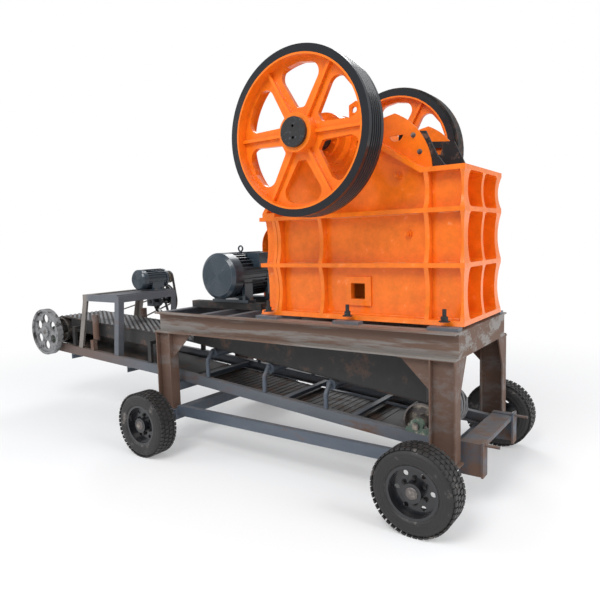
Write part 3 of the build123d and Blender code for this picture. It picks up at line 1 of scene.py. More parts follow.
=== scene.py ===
import json
from math import acos, asin, atan2, cos, hypot, pi, sin, tan

import bmesh
import bpy
from mathutils import Matrix, Vector


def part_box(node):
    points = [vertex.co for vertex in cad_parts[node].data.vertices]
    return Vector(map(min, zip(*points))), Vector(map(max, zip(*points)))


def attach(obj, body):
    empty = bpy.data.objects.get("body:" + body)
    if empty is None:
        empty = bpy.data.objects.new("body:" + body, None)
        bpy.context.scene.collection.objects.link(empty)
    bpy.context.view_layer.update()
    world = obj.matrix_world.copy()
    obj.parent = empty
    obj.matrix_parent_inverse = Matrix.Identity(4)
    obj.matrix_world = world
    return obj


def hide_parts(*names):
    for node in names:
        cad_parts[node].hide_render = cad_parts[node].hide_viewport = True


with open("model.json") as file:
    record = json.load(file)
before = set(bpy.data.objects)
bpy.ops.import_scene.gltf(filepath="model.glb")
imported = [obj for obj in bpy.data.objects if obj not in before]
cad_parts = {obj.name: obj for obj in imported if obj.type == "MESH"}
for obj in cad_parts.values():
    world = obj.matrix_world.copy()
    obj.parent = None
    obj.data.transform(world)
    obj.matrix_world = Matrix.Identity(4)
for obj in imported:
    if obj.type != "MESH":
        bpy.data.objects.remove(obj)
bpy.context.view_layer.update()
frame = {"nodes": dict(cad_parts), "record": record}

bl_info = {
    "name": "Portable jaw crusher finish",
    "version": (1, 0, 0),
    "blender": (4, 5, 0),
    "location": "3D View > Sidebar > Jaw crusher",
    "description": "Finishes, fasteners, tyres and belts of a portable jaw crusher",
    "category": "Object",
}

NODES = frame["nodes"]
ROOT = "machine_frame"


def middle(node):
    low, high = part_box(node)
    return (Vector(low) + Vector(high)) / 2


def across(node):
    """A round node's size along the machine, which is its diameter."""
    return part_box(node)[1][0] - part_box(node)[0][0]


SHAFT = middle("flywheel_near")
MOTOR = middle("motor_sheave")
HEAD = middle("head_drum")
TAIL = middle("tail_drum")


def measure(name, description, default):
    return bpy.props.FloatProperty(
        name=name, description=description, default=default, unit="LENGTH")


def tint(name, description, default):
    return bpy.props.FloatVectorProperty(
        name=name, description=description, default=default, subtype="COLOR")


class CrusherSizes(bpy.types.PropertyGroup):
    """Sizes of the pieces that dress the machine."""
    base_bolt: measure(
        "Base bolt", "Width across flats of the nuts that hold the crusher down", 0.040)
    frame_bolt: measure("Frame bolt", "Width across flats of the ordinary nuts", 0.024)
    small_bolt: measure("Small bolt", "Width across flats of the small screws", 0.014)
    wheel_nut: measure("Wheel nut", "Width across flats of the wheel nuts", 0.019)
    weld_bead: measure("Weld bead", "Radius of a weld bead", 0.0045)
    tread_blocks: bpy.props.IntProperty(
        name="Tread blocks", description="Tread blocks in one row of a tyre", default=46)
    tread_depth: measure("Tread depth", "Depth of the tyre tread", 0.006)
    cleat_pitch: measure("Cleat pitch", "Distance between the ribs of the conveyor belt", 0.076)
    cleat_height: measure("Cleat height", "Height of the ribs of the conveyor belt", 0.005)


class CrusherColours(bpy.types.PropertyGroup):
    """Colours of the machine's finishes."""
    paint: tint("Paint", "Gloss paint of the crusher", (0.86, 0.180, 0.008))
    # Pale orange that stands partly for scuffed paint and partly for painted sheen, the glints on
    # the gloss paint
    scuff: tint("Scuffs and painted sheen", "Pale scuffs in the crusher's paint", (0.90, 0.36, 0.14))
    rim_paint: tint("Rim paint", "Dark paint on the rims of the flywheels", (0.010, 0.011, 0.014))
    rust: tint("Rust", "Rust on bare steel", (0.135, 0.078, 0.055))
    mill_scale: tint("Mill scale", "Grey skin of rolled steel", (0.165, 0.150, 0.145))
    rail_grey: tint("Rail grey", "Primer of the conveyor rails", (0.115, 0.128, 0.150))
    stand_tan: tint("Stand primer", "Dusty primer of the motor stand", (0.225, 0.200, 0.182))
    motor_blue: tint("Motor paint", "Dark paint of the motors", (0.028, 0.046, 0.064))
    tie_blue: tint("Tie primer", "Blue-grey primer of the axle ties", (0.085, 0.105, 0.135))
    beam_tan: tint("Beam tan", "Weathered rolled steel of the deck beams", (0.215, 0.195, 0.180))
    plate_grey: tint("Plate grey", "Blue-grey flame-cut plate", (0.120, 0.130, 0.150))
    skirt_black: tint("Skirt black", "Dark plates beside the conveyor belt", (0.026, 0.026, 0.027))
    bearing_green: tint("Bearing green", "Paint of the bearing blocks", (0.075, 0.125, 0.095))
    rib_grey: tint("Belt rib grey", "Worn tops of the conveyor belt's ribs", (0.26, 0.26, 0.265))
    tyre_rubber: tint("Tyre rubber", "Rubber of the tyres", (0.022, 0.021, 0.021))
    dust: tint("Dust", "Stone dust that settles on the machine", (0.36, 0.31, 0.26))
    casting: tint("Bare casting", "Unpainted cast iron", (0.40, 0.35, 0.29))
    backdrop: tint("Backdrop", "Floor and backdrop", (0.92, 0.92, 0.92))


def sizes():
    return bpy.context.scene.crusher_sizes


def colour(name):
    return tuple(getattr(bpy.context.scene.crusher_colours, name)) + (1.0,)


# Shader groups

def group_of(name, outputs, **inputs):
    """A shader group: numbers or vectors with their usual values go in, numbers come out."""
    tree = bpy.data.node_groups.new(name, "ShaderNodeTree")
    for label, value in inputs.items():
        kind = "NodeSocketVector" if isinstance(value, tuple) else "NodeSocketFloat"
        socket = tree.interface.new_socket(label.replace("_", " "), in_out="INPUT",
                                           socket_type=kind)
        socket.default_value = value
    for label in outputs:
        tree.interface.new_socket(label, in_out="OUTPUT", socket_type="NodeSocketFloat")
    return tree, tree.nodes.new("NodeGroupInput"), tree.nodes.new("NodeGroupOutput")


def add(tree, kind, links=None, **settings):
    """One node with its settings; links are (socket, source socket or value) pairs."""
    node = tree.nodes.new(kind)
    for key, value in settings.items():
        setattr(node, key, value)
    for key, value in (links or {}).items():
        if isinstance(value, bpy.types.NodeSocket):
            tree.links.new(value, node.inputs[key])
        else:
            node.inputs[key].default_value = value
    return node


def math_of(tree, operation, a, b=0.5, c=0.5, clamp=False):
    node = add(tree, "ShaderNodeMath", {0: a, 1: b, 2: c}, operation=operation, use_clamp=clamp)
    return node.outputs[0]


def mixed(tree, factor, a, b):
    node = add(tree, "ShaderNodeMix", {0: factor, 6: a, 7: b}, data_type="RGBA")
    return node.outputs[2]


def place_of(tree):
    return add(tree, "ShaderNodeTexCoord").outputs["Object"]


def ranged(tree, value, low, high, to_low=0.0, to_high=1.0):
    node = add(tree, "ShaderNodeMapRange", {0: value, 1: low, 2: high, 3: to_low, 4: to_high})
    return node.outputs[0]


def noise_of(tree, place, scale, detail, roughness=0.5):
    return add(tree, "ShaderNodeTexNoise", {"Vector": place, "Scale": scale, "Detail": detail,
                                            "Roughness": roughness}).outputs[0]


def patch_group():
    """Soft-edged patches: worn paint, rust, stains, and on the orange paint scuffs mixed with
    painted sheen.
    """
    tree, start, end = group_of("Patches", ("Mask", "Shade"), Scale=9.0, Cover=0.4, Softness=0.1,
                                Stretch=(1, 1, 1))
    scaled = add(tree, "ShaderNodeVectorMath", {0: place_of(tree), 1: start.outputs["Stretch"]},
                 operation="MULTIPLY").outputs[0]
    broad = noise_of(tree, scaled, start.outputs["Scale"], 6.0, 0.62)
    fine_scale = math_of(tree, "MULTIPLY", start.outputs["Scale"], 7.0)
    fine = noise_of(tree, scaled, fine_scale, 4.0, 0.7)
    both = math_of(tree, "MULTIPLY_ADD", fine, 0.28, math_of(tree, "MULTIPLY", broad, 0.8))
    edge = math_of(tree, "SUBTRACT", 0.84, math_of(tree, "MULTIPLY", start.outputs["Cover"], 0.6))
    low = math_of(tree, "SUBTRACT", edge, start.outputs["Softness"])
    tree.links.new(ranged(tree, both, low, edge), end.inputs["Mask"])
    tree.links.new(both, end.inputs["Shade"])
    return tree


def dust_group():
    """Dust that lies on faces that look up, thinned by noise."""
    tree, start, end = group_of("Settled dust", ("Mask",), Amount=0.5, Scale=14.0)
    normal = add(tree, "ShaderNodeNewGeometry").outputs["Normal"]
    up = add(tree, "ShaderNodeSeparateXYZ", {0: normal}).outputs["Z"]
    flat = ranged(tree, up, 0.15, 0.95, to_low=0.12)
    noise = noise_of(tree, place_of(tree), start.outputs["Scale"], 7.0, 0.66)
    thin = ranged(tree, noise, 0.3, 0.75, to_low=0.1)
    mask = math_of(tree, "MULTIPLY", math_of(tree, "MULTIPLY", flat, thin), start.outputs["Amount"],
                   clamp=True)
    tree.links.new(mask, end.inputs["Mask"])
    return tree


def skin_group():
    """Height of a surface's skin: a slow waviness under a fine grain."""
    tree, start, end = group_of("Metal skin", ("Height",), Wave_Scale=9.0, Grain_Scale=220.0,
                                Grain=0.3)
    place = place_of(tree)
    wave = noise_of(tree, place, start.outputs["Wave Scale"], 2.0)
    grain = noise_of(tree, place, start.outputs["Grain Scale"], 3.0)
    height = math_of(tree, "MULTIPLY_ADD", grain, start.outputs["Grain"], wave)
    tree.links.new(height, end.inputs["Height"])
    return tree


def finish_of(name, metallic=0.0, coat=0.0, coat_roughness=0.1, shine=0.5):
    """A new material with its surface shader and output, and the sockets to fill."""
    material = bpy.data.materials.new(name)
    material.use_nodes = True
    tree = material.node_tree
    shader = tree.nodes["Principled BSDF"]
    shader.inputs["Metallic"].default_value = metallic
    shader.inputs["Coat Weight"].default_value = coat
    shader.inputs["Specular IOR Level"].default_value = shine
    shader.inputs["Coat Roughness"].default_value = coat_roughness
    return material, tree, shader


def use(tree, group, **values):
    node = tree.nodes.new("ShaderNodeGroup")
    node.node_tree = bpy.data.node_groups[group]
    for key, value in values.items():
        node.inputs[key.replace("_", " ")].default_value = value
    return node.outputs


def relief(tree, shader, height, strength, distance):
    bump = add(tree, "ShaderNodeBump", {
        "Strength": strength, "Distance": distance, "Height": height})
    tree.links.new(bump.outputs[0], shader.inputs["Normal"])


def layered(name, base, second, cover, patch_scale, roughness, second_roughness, dust=0.0,
            metallic=0.0, coat=0.0, wave=9.0, grain=0.3, depth=0.002, strength=0.35, softness=0.1,
            stretch=(1, 1, 1), base_node=None, shine=0.4):
    """A finish of one colour broken by patches of a second one, under dust, on an uneven skin."""
    material, tree, shader = finish_of(name, metallic, coat, shine=shine)
    patches = use(tree, "Patches", Scale=patch_scale, Cover=cover, Softness=softness,
                  Stretch=stretch)
    first = base_node(tree) if base_node else colour(base)
    shade = ranged(tree, patches["Shade"], 0.3, 0.8, 0.8, 1.18)
    varied = add(tree, "ShaderNodeMix", {0: 1.0, 6: first, 7: shade}, data_type="RGBA",
                 blend_type="MULTIPLY")
    face = mixed(tree, patches["Mask"], varied.outputs[2], colour(second))
    rough = ranged(tree, patches["Mask"], 0.0, 1.0, roughness, second_roughness)
    if dust:
        settled = use(tree, "Settled dust", Amount=dust)["Mask"]
        face = mixed(tree, settled, face, colour("dust"))
        rough = math_of(tree, "MULTIPLY_ADD", settled, 0.4, rough, clamp=True)
    tree.links.new(face, shader.inputs["Base Color"])
    tree.links.new(rough, shader.inputs["Roughness"])
    height = use(tree, "Metal skin", Wave_Scale=wave, Grain=grain)["Height"]
    relief(tree, shader, height, strength, depth)
    return material


def rim_mask(tree, radius):
    """1 outside the given radius about the flywheel shaft, 0 inside it."""
    centred = add(tree, "ShaderNodeMapping", {
        "Vector": place_of(tree), "Location": (-SHAFT.x, 0, -SHAFT.z)})
    flat = add(tree, "ShaderNodeVectorMath", {0: centred.outputs[0], 1: (1, 0, 1)},
               operation="MULTIPLY").outputs[0]
    length = add(tree, "ShaderNodeVectorMath", {0: flat}, operation="LENGTH").outputs["Value"]
    return math_of(tree, "GREATER_THAN", length, radius)


def flywheel_base(tree):
    """Orange spokes and hub inside a dark rim."""
    rim_inside = 0.4535
    return mixed(tree, rim_mask(tree, rim_inside), colour("paint"), colour("rim_paint"))


def rail_base(tree):
    """Primer towards the tail, bare rusty steel towards the head of the conveyor."""
    along = add(tree, "ShaderNodeSeparateXYZ", {0: place_of(tree)}).outputs["X"]
    fade = ranged(tree, along, -1.5, -0.7, 0.75, 0.0)
    return mixed(tree, fade, colour("rail_grey"), colour("rust"))


def stand_base(tree):
    """Tan primer on the head side of the motor stand, blue-grey on the crusher side."""
    head_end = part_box("motor_stand")[0][0]
    along = add(tree, "ShaderNodeSeparateXYZ", {0: place_of(tree)}).outputs["X"]
    fade = ranged(tree, along, head_end + 0.16, head_end + 0.22)
    return mixed(tree, fade, colour("stand_tan"), colour("plate_grey"))


FINISHES = {}

# CAD nodes whose finish is a variant of their slot's
OWN_FINISH = {
    "side_beam_near": "beam_steel", "side_beam_far": "beam_steel", "end_beam_front": "beam_steel",
    "end_beam_rear": "beam_steel", "rear_deck_beams": "plate_steel", "base_shims": "plate_steel",
    "axle_tie_near": "tie_steel", "axle_tie_far": "tie_steel", "axle_front": "tie_steel",
    "axle_rear": "tie_steel", "skirt_boards": "skirt_steel", "tail_frame": "tail_steel",
    "slider_bed": "skirt_steel", "idler_stations": "tie_steel", "rail_cross_members": "tie_steel",
    "eccentric_shaft": "dark_iron", "slide_rails": "skirt_steel", "guide_rollers": "frame_steel",
    "head_wheel": "worn_casting",
}


# Each finish: its name, colour and patch colour, the patches' cover and scale, the roughness of
# both, and what differs from an ordinary finish
RECIPES = {
    # The orange paint's pale patches are partly scuffs and partly painted sheen
    "crusher_paint": ("Gloss orange paint", "paint", "scuff", 0.14, 14.0, 0.28, 0.45,
        dict(dust=0.03, coat=0.3, wave=16.0, grain=0.12, depth=0.004, strength=0.5, shine=0.3)),
    "flywheel_paint": ("Flywheel paint", "paint", "rim_paint", 0.0, 16.0, 0.28, 0.5,
        dict(dust=0.02, coat=0.3, wave=18.0, grain=0.10, depth=0.003, strength=0.4,
             base_node=flywheel_base, shine=0.3)),
    # Weld beads take the pale colour as a painted highlight, where the convex beads catch the light
    "painted_weld": ("Painted weld", "scuff", "paint", 0.40, 30.0, 0.25, 0.30,
        dict(wave=60.0, coat=0.5, depth=0.001, softness=0.2)),
    "frame_steel": ("Rusty rolled steel", "rust", "mill_scale", 0.22, 6.0, 0.62, 0.46,
        dict(dust=0.10, wave=30.0, grain=0.6, depth=0.0015, strength=0.4, softness=0.16,
             stretch=(0.45, 1, 1))),
    "beam_steel": ("Weathered beam steel", "beam_tan", "rust", 0.44, 5.0, 0.40, 0.70,
        dict(dust=0.40, wave=26.0, grain=0.5, depth=0.001, softness=0.09, stretch=(0.16, 1, 2.2))),
    "plate_steel": ("Grey plate steel", "plate_grey", "rust", 0.18, 7.0, 0.45, 0.70,
        dict(dust=0.35, wave=24.0, grain=0.4, depth=0.001, softness=0.14)),
    "tie_steel": ("Blue-grey primer", "tie_blue", "rust", 0.14, 8.0, 0.42, 0.70,
        dict(dust=0.30, wave=22.0, depth=0.001, softness=0.14, stretch=(0.4, 1, 1))),
    "skirt_steel": ("Dark skirt plate", "skirt_black", "rust", 0.16, 6.0, 0.55, 0.78,
        dict(dust=0.18, wave=18.0, depth=0.001, softness=0.16)),
    "tail_steel": ("Tail box plate", "tie_blue", "rust", 0.36, 6.0, 0.46, 0.72,
        dict(dust=0.30, wave=18.0, depth=0.001, softness=0.16)),
    "conveyor_steel": ("Rail primer", "rail_grey", "rust", 0.16, 8.0, 0.44, 0.72,
        dict(dust=0.40, metallic=0.1, wave=24.0, grain=0.4, depth=0.001, softness=0.16,
             stretch=(0.3, 1, 1), base_node=rail_base)),
    "stand_steel": ("Stand primer", "stand_tan", "rust", 0.16, 10.0, 0.55, 0.72,
        dict(dust=0.25, wave=20.0, depth=0.001, softness=0.12, base_node=stand_base)),
    "motor_paint": ("Dark motor paint", "motor_blue", "plate_grey", 0.10, 20.0, 0.30, 0.5,
        dict(dust=0.05, coat=0.5, wave=30.0, grain=0.4, depth=0.001)),
    "wheel_steel": ("Black wheel paint", "rim_paint", "plate_grey", 0.10, 22.0, 0.30, 0.5,
        dict(dust=0.05, coat=0.6, wave=30.0, depth=0.0008)),
    "tyre_rubber": ("Dusty tyre rubber", "tyre_rubber", "beam_tan", 0.12, 10.0, 0.50, 0.80,
        dict(dust=0.05, wave=40.0, grain=0.6, depth=0.0008, softness=0.16)),
    "belt_rubber": ("Belt rubber", "tyre_rubber", "rust", 0.24, 8.0, 0.50, 0.80,
        dict(dust=0.08, wave=40.0, grain=0.3, depth=0.0005, softness=0.16)),
    "belt_rib": ("Worn belt ribs", "rib_grey", "tyre_rubber", 0.20, 5.0, 0.42, 0.60,
        dict(wave=40.0, grain=0.3, depth=0.0005, softness=0.2)),
    "dark_iron": ("Dark cast iron", "skirt_black", "plate_grey", 0.20, 60.0, 0.42, 0.55,
        dict(dust=0.08, metallic=0.3, wave=60.0, grain=1.0, depth=0.0012)),
    "liner_steel": ("Dark manganese steel", "rim_paint", "rust", 0.30, 18.0, 0.48, 0.66,
        dict(dust=0.22, metallic=0.35, wave=26.0, grain=0.7, depth=0.002)),
    "raw_casting": ("Bare casting", "casting", "rust", 0.26, 16.0, 0.58, 0.75,
        dict(metallic=0.25, wave=40.0, grain=0.9, depth=0.0015)),
    "worn_casting": ("Worn casting", "rib_grey", "skirt_black", 0.34, 14.0, 0.50, 0.60,
        dict(dust=0.15, metallic=0.2, wave=40.0, grain=0.8, depth=0.0012)),
    "bearing_paint": ("Bearing paint", "bearing_green", "casting", 0.30, 22.0, 0.42, 0.55,
        dict(dust=0.2, coat=0.2)),
    "bare_steel": ("Bare steel", "casting", "mill_scale", 0.5, 14.0, 0.38, 0.5,
        dict(metallic=0.85, wave=50.0, grain=0.4, depth=0.0004)),
}


def make_finishes():
    patch_group()
    dust_group()
    skin_group()
    for finish, (*plain, extra) in RECIPES.items():
        FINISHES[finish] = layered(*plain, **extra)


# Mesh helpers

def link(name, mesh, finish, body, smooth=True, stands_for=()):
    """A finished piece: its object, finish, body and the CAD nodes that it stands for."""
    piece = bpy.data.objects.new(name, mesh)
    bpy.context.scene.collection.objects.link(piece)
    if not mesh.materials:
        mesh.materials.append(FINISHES[finish])
    mesh.polygons.foreach_set("use_smooth", [smooth] * len(mesh.polygons))
    if stands_for:
        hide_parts(*stands_for)
    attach(piece, body)
    return piece


def mesh_of(name, verts, faces):
    mesh = bpy.data.meshes.new(name)
    mesh.from_pydata([tuple(v) for v in verts], [], faces)
    shape = bmesh.new()
    shape.from_mesh(mesh)
    bmesh.ops.remove_doubles(shape, verts=shape.verts, dist=1e-6)
    bmesh.ops.recalc_face_normals(shape, faces=shape.faces)
    shape.to_mesh(mesh)
    shape.free()
    return mesh


def hoops(rounds, count):
    """Faces between neighbouring rounds of count points, closed both ways."""
    faces = []
    for step in range(rounds):
        here, there = step * count, (step + 1) % rounds * count
        for spot in range(count):
            after = (spot + 1) % count
            faces.append((here + spot, here + after, there + after, there + spot))
    return faces


def lathe(profile, centre, steps=64):
    """Closed solid of revolution about Y; profile is (radius, y) pairs in a closed outline."""
    verts = []
    for step in range(steps):
        turn = 2 * pi * step / steps
        for radius, y in profile:
            verts.append((centre[0] + radius * cos(turn), centre[1] + y,
                          centre[2] + radius * sin(turn)))
    return verts, hoops(steps, len(profile))


def ring(centre, radius, thickness, axis, steps=40, sides=8):
    """A torus about the given axis."""
    turn = Vector((0, 0, 1)).rotation_difference(Vector(axis)).to_matrix()
    verts = []
    for step in range(steps):
        a = 2 * pi * step / steps
        for side in range(sides):
            b = 2 * pi * side / sides
            reach = radius + thickness * cos(b)
            spot = turn @ Vector((reach * cos(a), reach * sin(a), thickness * sin(b)))
            verts.append(Vector(centre) + spot)
    return verts, hoops(steps, sides)


def joined(*shapes):
    """Several shapes as one list of points and one of faces."""
    verts, faces = [], []
    for some_verts, some_faces in shapes:
        start = len(verts)
        verts += [tuple(v) for v in some_verts]
        faces += [tuple(start + i for i in face) for face in some_faces]
    return verts, faces


# Geometry node helpers

def shape_tree(name, **inputs):
    """A geometry tree that takes a shape, the inputs of the given kinds and a material."""
    tree = bpy.data.node_groups.new(name, "GeometryNodeTree")
    kinds = {"Geometry": "Geometry", **inputs, "Material": "Material"}
    for label, kind in kinds.items():
        tree.interface.new_socket(label.replace("_", " "), in_out="INPUT",
                                  socket_type="NodeSocket" + kind)
    tree.interface.new_socket("Geometry", in_out="OUTPUT", socket_type="NodeSocketGeometry")
    return tree, tree.nodes.new("NodeGroupInput"), tree.nodes.new("NodeGroupOutput")


def close_tree(tree, start, end, shape):
    """Realize the instances and set the material, as the last steps of a tree."""
    real = add(tree, "GeometryNodeRealizeInstances", {0: shape})
    paint = add(tree, "GeometryNodeSetMaterial", {"Geometry": real.outputs[0],
                                                  "Material": start.outputs["Material"]})
    tree.links.new(paint.outputs[0], end.inputs[0])
    return tree


def grown(tree_name, seed_mesh, **values):
    """The plain mesh that a geometry node tree grows from a seed mesh."""
    seed = bpy.data.objects.new("seed", seed_mesh)
    bpy.context.scene.collection.objects.link(seed)
    tree = bpy.data.node_groups[tree_name]
    modifier = seed.modifiers.new("grow", "NODES")
    modifier.node_group = tree
    for item in tree.interface.items_tree:
        key = item.name.replace(" ", "_")
        if item.in_out == "INPUT" and key in values:
            modifier[item.identifier] = values[key]
    seed.update_tag()
    bpy.context.view_layer.update()
    shown = seed.evaluated_get(bpy.context.evaluated_depsgraph_get())
    mesh = bpy.data.meshes.new_from_object(shown)
    bpy.data.objects.remove(seed)
    if not mesh.polygons:
        raise RuntimeError(tree_name + " grew nothing")
    return mesh


def marked_points(name, spots, **marks):
    """Loose points, each with its own value of every mark: a number or a vector."""
    mesh = bpy.data.meshes.new(name)
    mesh.from_pydata([tuple(spot) for spot in spots], [], [])
    for label, values in marks.items():
        if isinstance(values[0], tuple):
            mesh.attributes.new(label, "FLOAT_VECTOR", "POINT")
            flat = [part for value in values for part in value]
            mesh.attributes[label].data.foreach_set("vector", flat)
        else:
            mesh.attributes.new(label, "FLOAT", "POINT")
            mesh.attributes[label].data.foreach_set("value", values)
    return mesh


def bolt_tree():
    """A washer, a hexagon and a stud end on every point, along the point's own way.

    The nut is one unit across flats and takes its real width from the point."""
    tree, start, end = shape_tree("Bolts", Stud="Float")
    thickness, nut = 0.14, 0.62

    def drum(sides, radius, depth, lift):
        body = add(tree, "GeometryNodeMeshCylinder", {
            "Vertices": sides, "Radius": radius, "Depth": depth})
        return add(tree, "GeometryNodeTransform", {"Geometry": body.outputs[0],
                                                   "Translation": (0, 0, lift)}).outputs[0]
    washer = drum(20, 0.82, thickness, thickness / 2)
    head = drum(6, 0.577, nut, thickness + nut / 2)
    crown = drum(6, 0.50, 0.06, thickness + nut + 0.03)
    stretch = add(tree, "ShaderNodeCombineXYZ", {"X": 1.0, "Y": 1.0, "Z": start.outputs["Stud"]})
    stud = add(tree, "GeometryNodeTransform", {"Geometry": drum(12, 0.31, 1.0, 0.5),
                                               "Scale": stretch.outputs[0]}).outputs[0]
    one = add(tree, "GeometryNodeJoinGeometry")
    for piece in (washer, head, crown, stud):
        tree.links.new(piece, one.inputs[0])
    way = add(tree, "GeometryNodeInputNamedAttribute", {0: "way"}, data_type="FLOAT_VECTOR")
    size = add(tree, "GeometryNodeInputNamedAttribute", {0: "size"}, data_type="FLOAT")
    turn = add(tree, "FunctionNodeAlignRotationToVector", {"Vector": way.outputs[0]}, axis="Z")
    spread = add(tree, "GeometryNodeInstanceOnPoints", {
        "Points": start.outputs["Geometry"], "Instance": one.outputs[0],
        "Rotation": turn.outputs[0], "Scale": size.outputs[0]})
    return close_tree(tree, start, end, spread.outputs[0])


def bead_tree():
    """A rippled weld bead along every edge chain."""
    tree, start, end = shape_tree("Weld beads", Radius="Float")
    line = add(tree, "GeometryNodeMeshToCurve", {0: start.outputs["Geometry"]})
    step = add(tree, "GeometryNodeResampleCurve", {"Curve": line.outputs[0], "Length": 0.007},
               mode="LENGTH")
    wobble = add(tree, "FunctionNodeRandomValue", {2: 0.75, 3: 1.25, "Seed": 7}, data_type="FLOAT")
    reach = math_of(tree, "MULTIPLY", wobble.outputs[1], start.outputs["Radius"])
    section = add(tree, "GeometryNodeCurvePrimitiveCircle", {"Resolution": 6, "Radius": 1.0})
    tube = add(tree, "GeometryNodeCurveToMesh", {
        "Curve": step.outputs[0], "Profile Curve": section.outputs[0], "Scale": reach,
        "Fill Caps": True})
    return close_tree(tree, start, end, tube.outputs[0])


# Rows of a tread: place and width as shares of the tyre's, filled share of the pitch, stagger
TREAD_ROWS = ((-0.40, 0.18, 0.76, 0.0), (-0.14, 0.22, 0.70, 0.5), (0.14, 0.22, 0.70, 0.0),
              (0.40, 0.18, 0.76, 0.5))
BLOCK_HEIGHT = 1.6      # of the tread's depth, since a block also reaches into the carcass


def tread_tree():
    """Tread blocks in staggered rows round a tyre carcass that lies about the Y axis."""
    tree, start, end = shape_tree("Tyre tread", Radius="Float", Width="Float", Depth="Float",
                                  Blocks="Int")
    radius, width, depth, blocks = (start.outputs[label] for label in (
        "Radius", "Width", "Depth", "Blocks"))
    join = add(tree, "GeometryNodeJoinGeometry")
    tree.links.new(start.outputs["Geometry"], join.inputs[0])
    for place, wide, fill, stagger in TREAD_ROWS:
        pitch = math_of(tree, "DIVIDE", math_of(tree, "MULTIPLY", radius, 2 * pi), blocks)
        size = add(tree, "ShaderNodeCombineXYZ", {
            "X": math_of(tree, "MULTIPLY", pitch, fill),
            "Y": math_of(tree, "MULTIPLY", width, wide),
            "Z": math_of(tree, "MULTIPLY", depth, BLOCK_HEIGHT)})
        block = add(tree, "GeometryNodeMeshCube", {"Size": size.outputs[0]})
        circle = add(tree, "GeometryNodeMeshCircle", {"Vertices": blocks, "Radius": radius})
        turned = add(tree, "GeometryNodeTransform", {
            "Geometry": circle.outputs[0], "Rotation": (pi / 2, 0, 0)})
        step = math_of(tree, "DIVIDE", pitch, radius)
        angle = add(tree, "ShaderNodeCombineXYZ", {"Y": math_of(tree, "MULTIPLY", step, stagger)})
        shift = add(tree, "ShaderNodeCombineXYZ", {"Y": math_of(tree, "MULTIPLY", width, place)})
        moved = add(tree, "GeometryNodeTransform", {
            "Geometry": turned.outputs[0], "Translation": shift.outputs[0],
            "Rotation": angle.outputs[0]})
        spot = add(tree, "GeometryNodeInputPosition")
        out = add(tree, "ShaderNodeVectorMath", {0: spot.outputs[0], 1: (1, 0, 1)},
                  operation="MULTIPLY")
        face = add(tree, "FunctionNodeAlignRotationToVector", {"Vector": out.outputs[0]}, axis="Z",
                   pivot_axis="Y")
        rowed = add(tree, "GeometryNodeInstanceOnPoints", {
            "Points": moved.outputs[0], "Instance": block.outputs[0], "Rotation": face.outputs[0]})
        tree.links.new(rowed.outputs[0], join.inputs[0])
    return close_tree(tree, start, end, join.outputs[0])


def cleat_tree():
    """Short slanted bars on points along a belt, turned by each point's own lean."""
    tree, start, end = shape_tree("Belt ribs", Slant="Vector", Bar_Size="Vector")
    bar = add(tree, "GeometryNodeMeshCube", {"Size": start.outputs["Bar Size"]})
    slanted = add(tree, "GeometryNodeTransform", {
        "Geometry": bar.outputs[0], "Rotation": start.outputs["Slant"]})
    lean = add(tree, "GeometryNodeInputNamedAttribute", {0: "lean"}, data_type="FLOAT")
    turn = add(tree, "ShaderNodeCombineXYZ", {"Y": lean.outputs[0]})
    spread = add(tree, "GeometryNodeInstanceOnPoints", {
        "Points": start.outputs["Geometry"], "Instance": slanted.outputs[0],
        "Rotation": turn.outputs[0]})
    return close_tree(tree, start, end, spread.outputs[0])


def copies_tree():
    """Even copies of a shape along one step."""
    tree, start, end = shape_tree("Even copies", Count="Int", Step="Vector")
    line = add(tree, "GeometryNodeMeshLine", {"Count": start.outputs["Count"],
                                              "Offset": start.outputs["Step"]}, mode="OFFSET")
    spread = add(tree, "GeometryNodeInstanceOnPoints", {
        "Points": line.outputs[0], "Instance": start.outputs["Geometry"]})
    return close_tree(tree, start, end, spread.outputs[0])


def make_trees():
    bolt_tree()
    bead_tree()
    tread_tree()
    cleat_tree()
    copies_tree()


def bolts(name, spots, finish="bare_steel", body=ROOT, stud=1.1):
    """Bolts at (place, way, width across flats) spots, as one piece."""
    places, ways, widths = zip(*spots)
    mesh = marked_points(name, places, way=ways, size=widths)
    grown_mesh = grown("Bolts", mesh, Stud=stud, Material=FINISHES[finish])
    return link(name, grown_mesh, finish, body, smooth=False)


def bolt_circle(centre, radius, y, way, count, width):
    """Spots for count bolts round an axle, at height y along it."""
    spots = []
    for turn in range(count):
        angle = 2 * pi * (turn + 0.5) / count
        spots.append(((centre.x + radius * cos(angle), y, centre.z + radius * sin(angle)),
                      (0, way, 0), width))
    return spots


def beads(name, lines, body=ROOT, finish="frame_steel"):
    """Weld beads along open chains of points, as one piece."""
    verts, edges = [], []
    for line in lines:
        for index, spot in enumerate(line):
            if index:
                edges.append((len(verts) - 1, len(verts)))
            verts.append(tuple(spot))
    mesh = bpy.data.meshes.new(name)
    mesh.from_pydata(verts, edges, [])
    grown_mesh = grown("Weld beads", mesh, Radius=sizes().weld_bead, Material=FINISHES[finish])
    return link(name, grown_mesh, finish, body)


class CRUSHER_OT_finishes(bpy.types.Operator):
    """Give every CAD node the finish of its material slot"""
    bl_idname = "crusher.finishes"
    bl_label = "Finishes"

    def execute(self, context):
        make_finishes()
        make_trees()
        for part in frame["record"]["subparts"]:
            mesh = NODES[part["node"]].data
            mesh.materials.clear()
            finish = OWN_FINISH.get(part["node"], part["material_slot"])
            mesh.materials.append(FINISHES[finish])
        return {"FINISHED"}


CORNERS = ("front_near", "front_far", "rear_near", "rear_far")
NEAR_FAR = (-1, 1)

# Section of a tyre: (distance out from the rim, share of the half width) up its side wall, then
# (distance in from the tread's foot, share of the half width) over its shoulder
TYRE_WALL = ((0.0, 0.86), (0.010, 0.97), (0.020, 1.0), (0.027, 0.985), (0.034, 1.0), (0.048, 1.0),
             (0.053, 0.975), (0.060, 0.985))
TYRE_SHOULDER = ((0.022, 0.95), (0.009, 0.86), (0.0, 0.7))


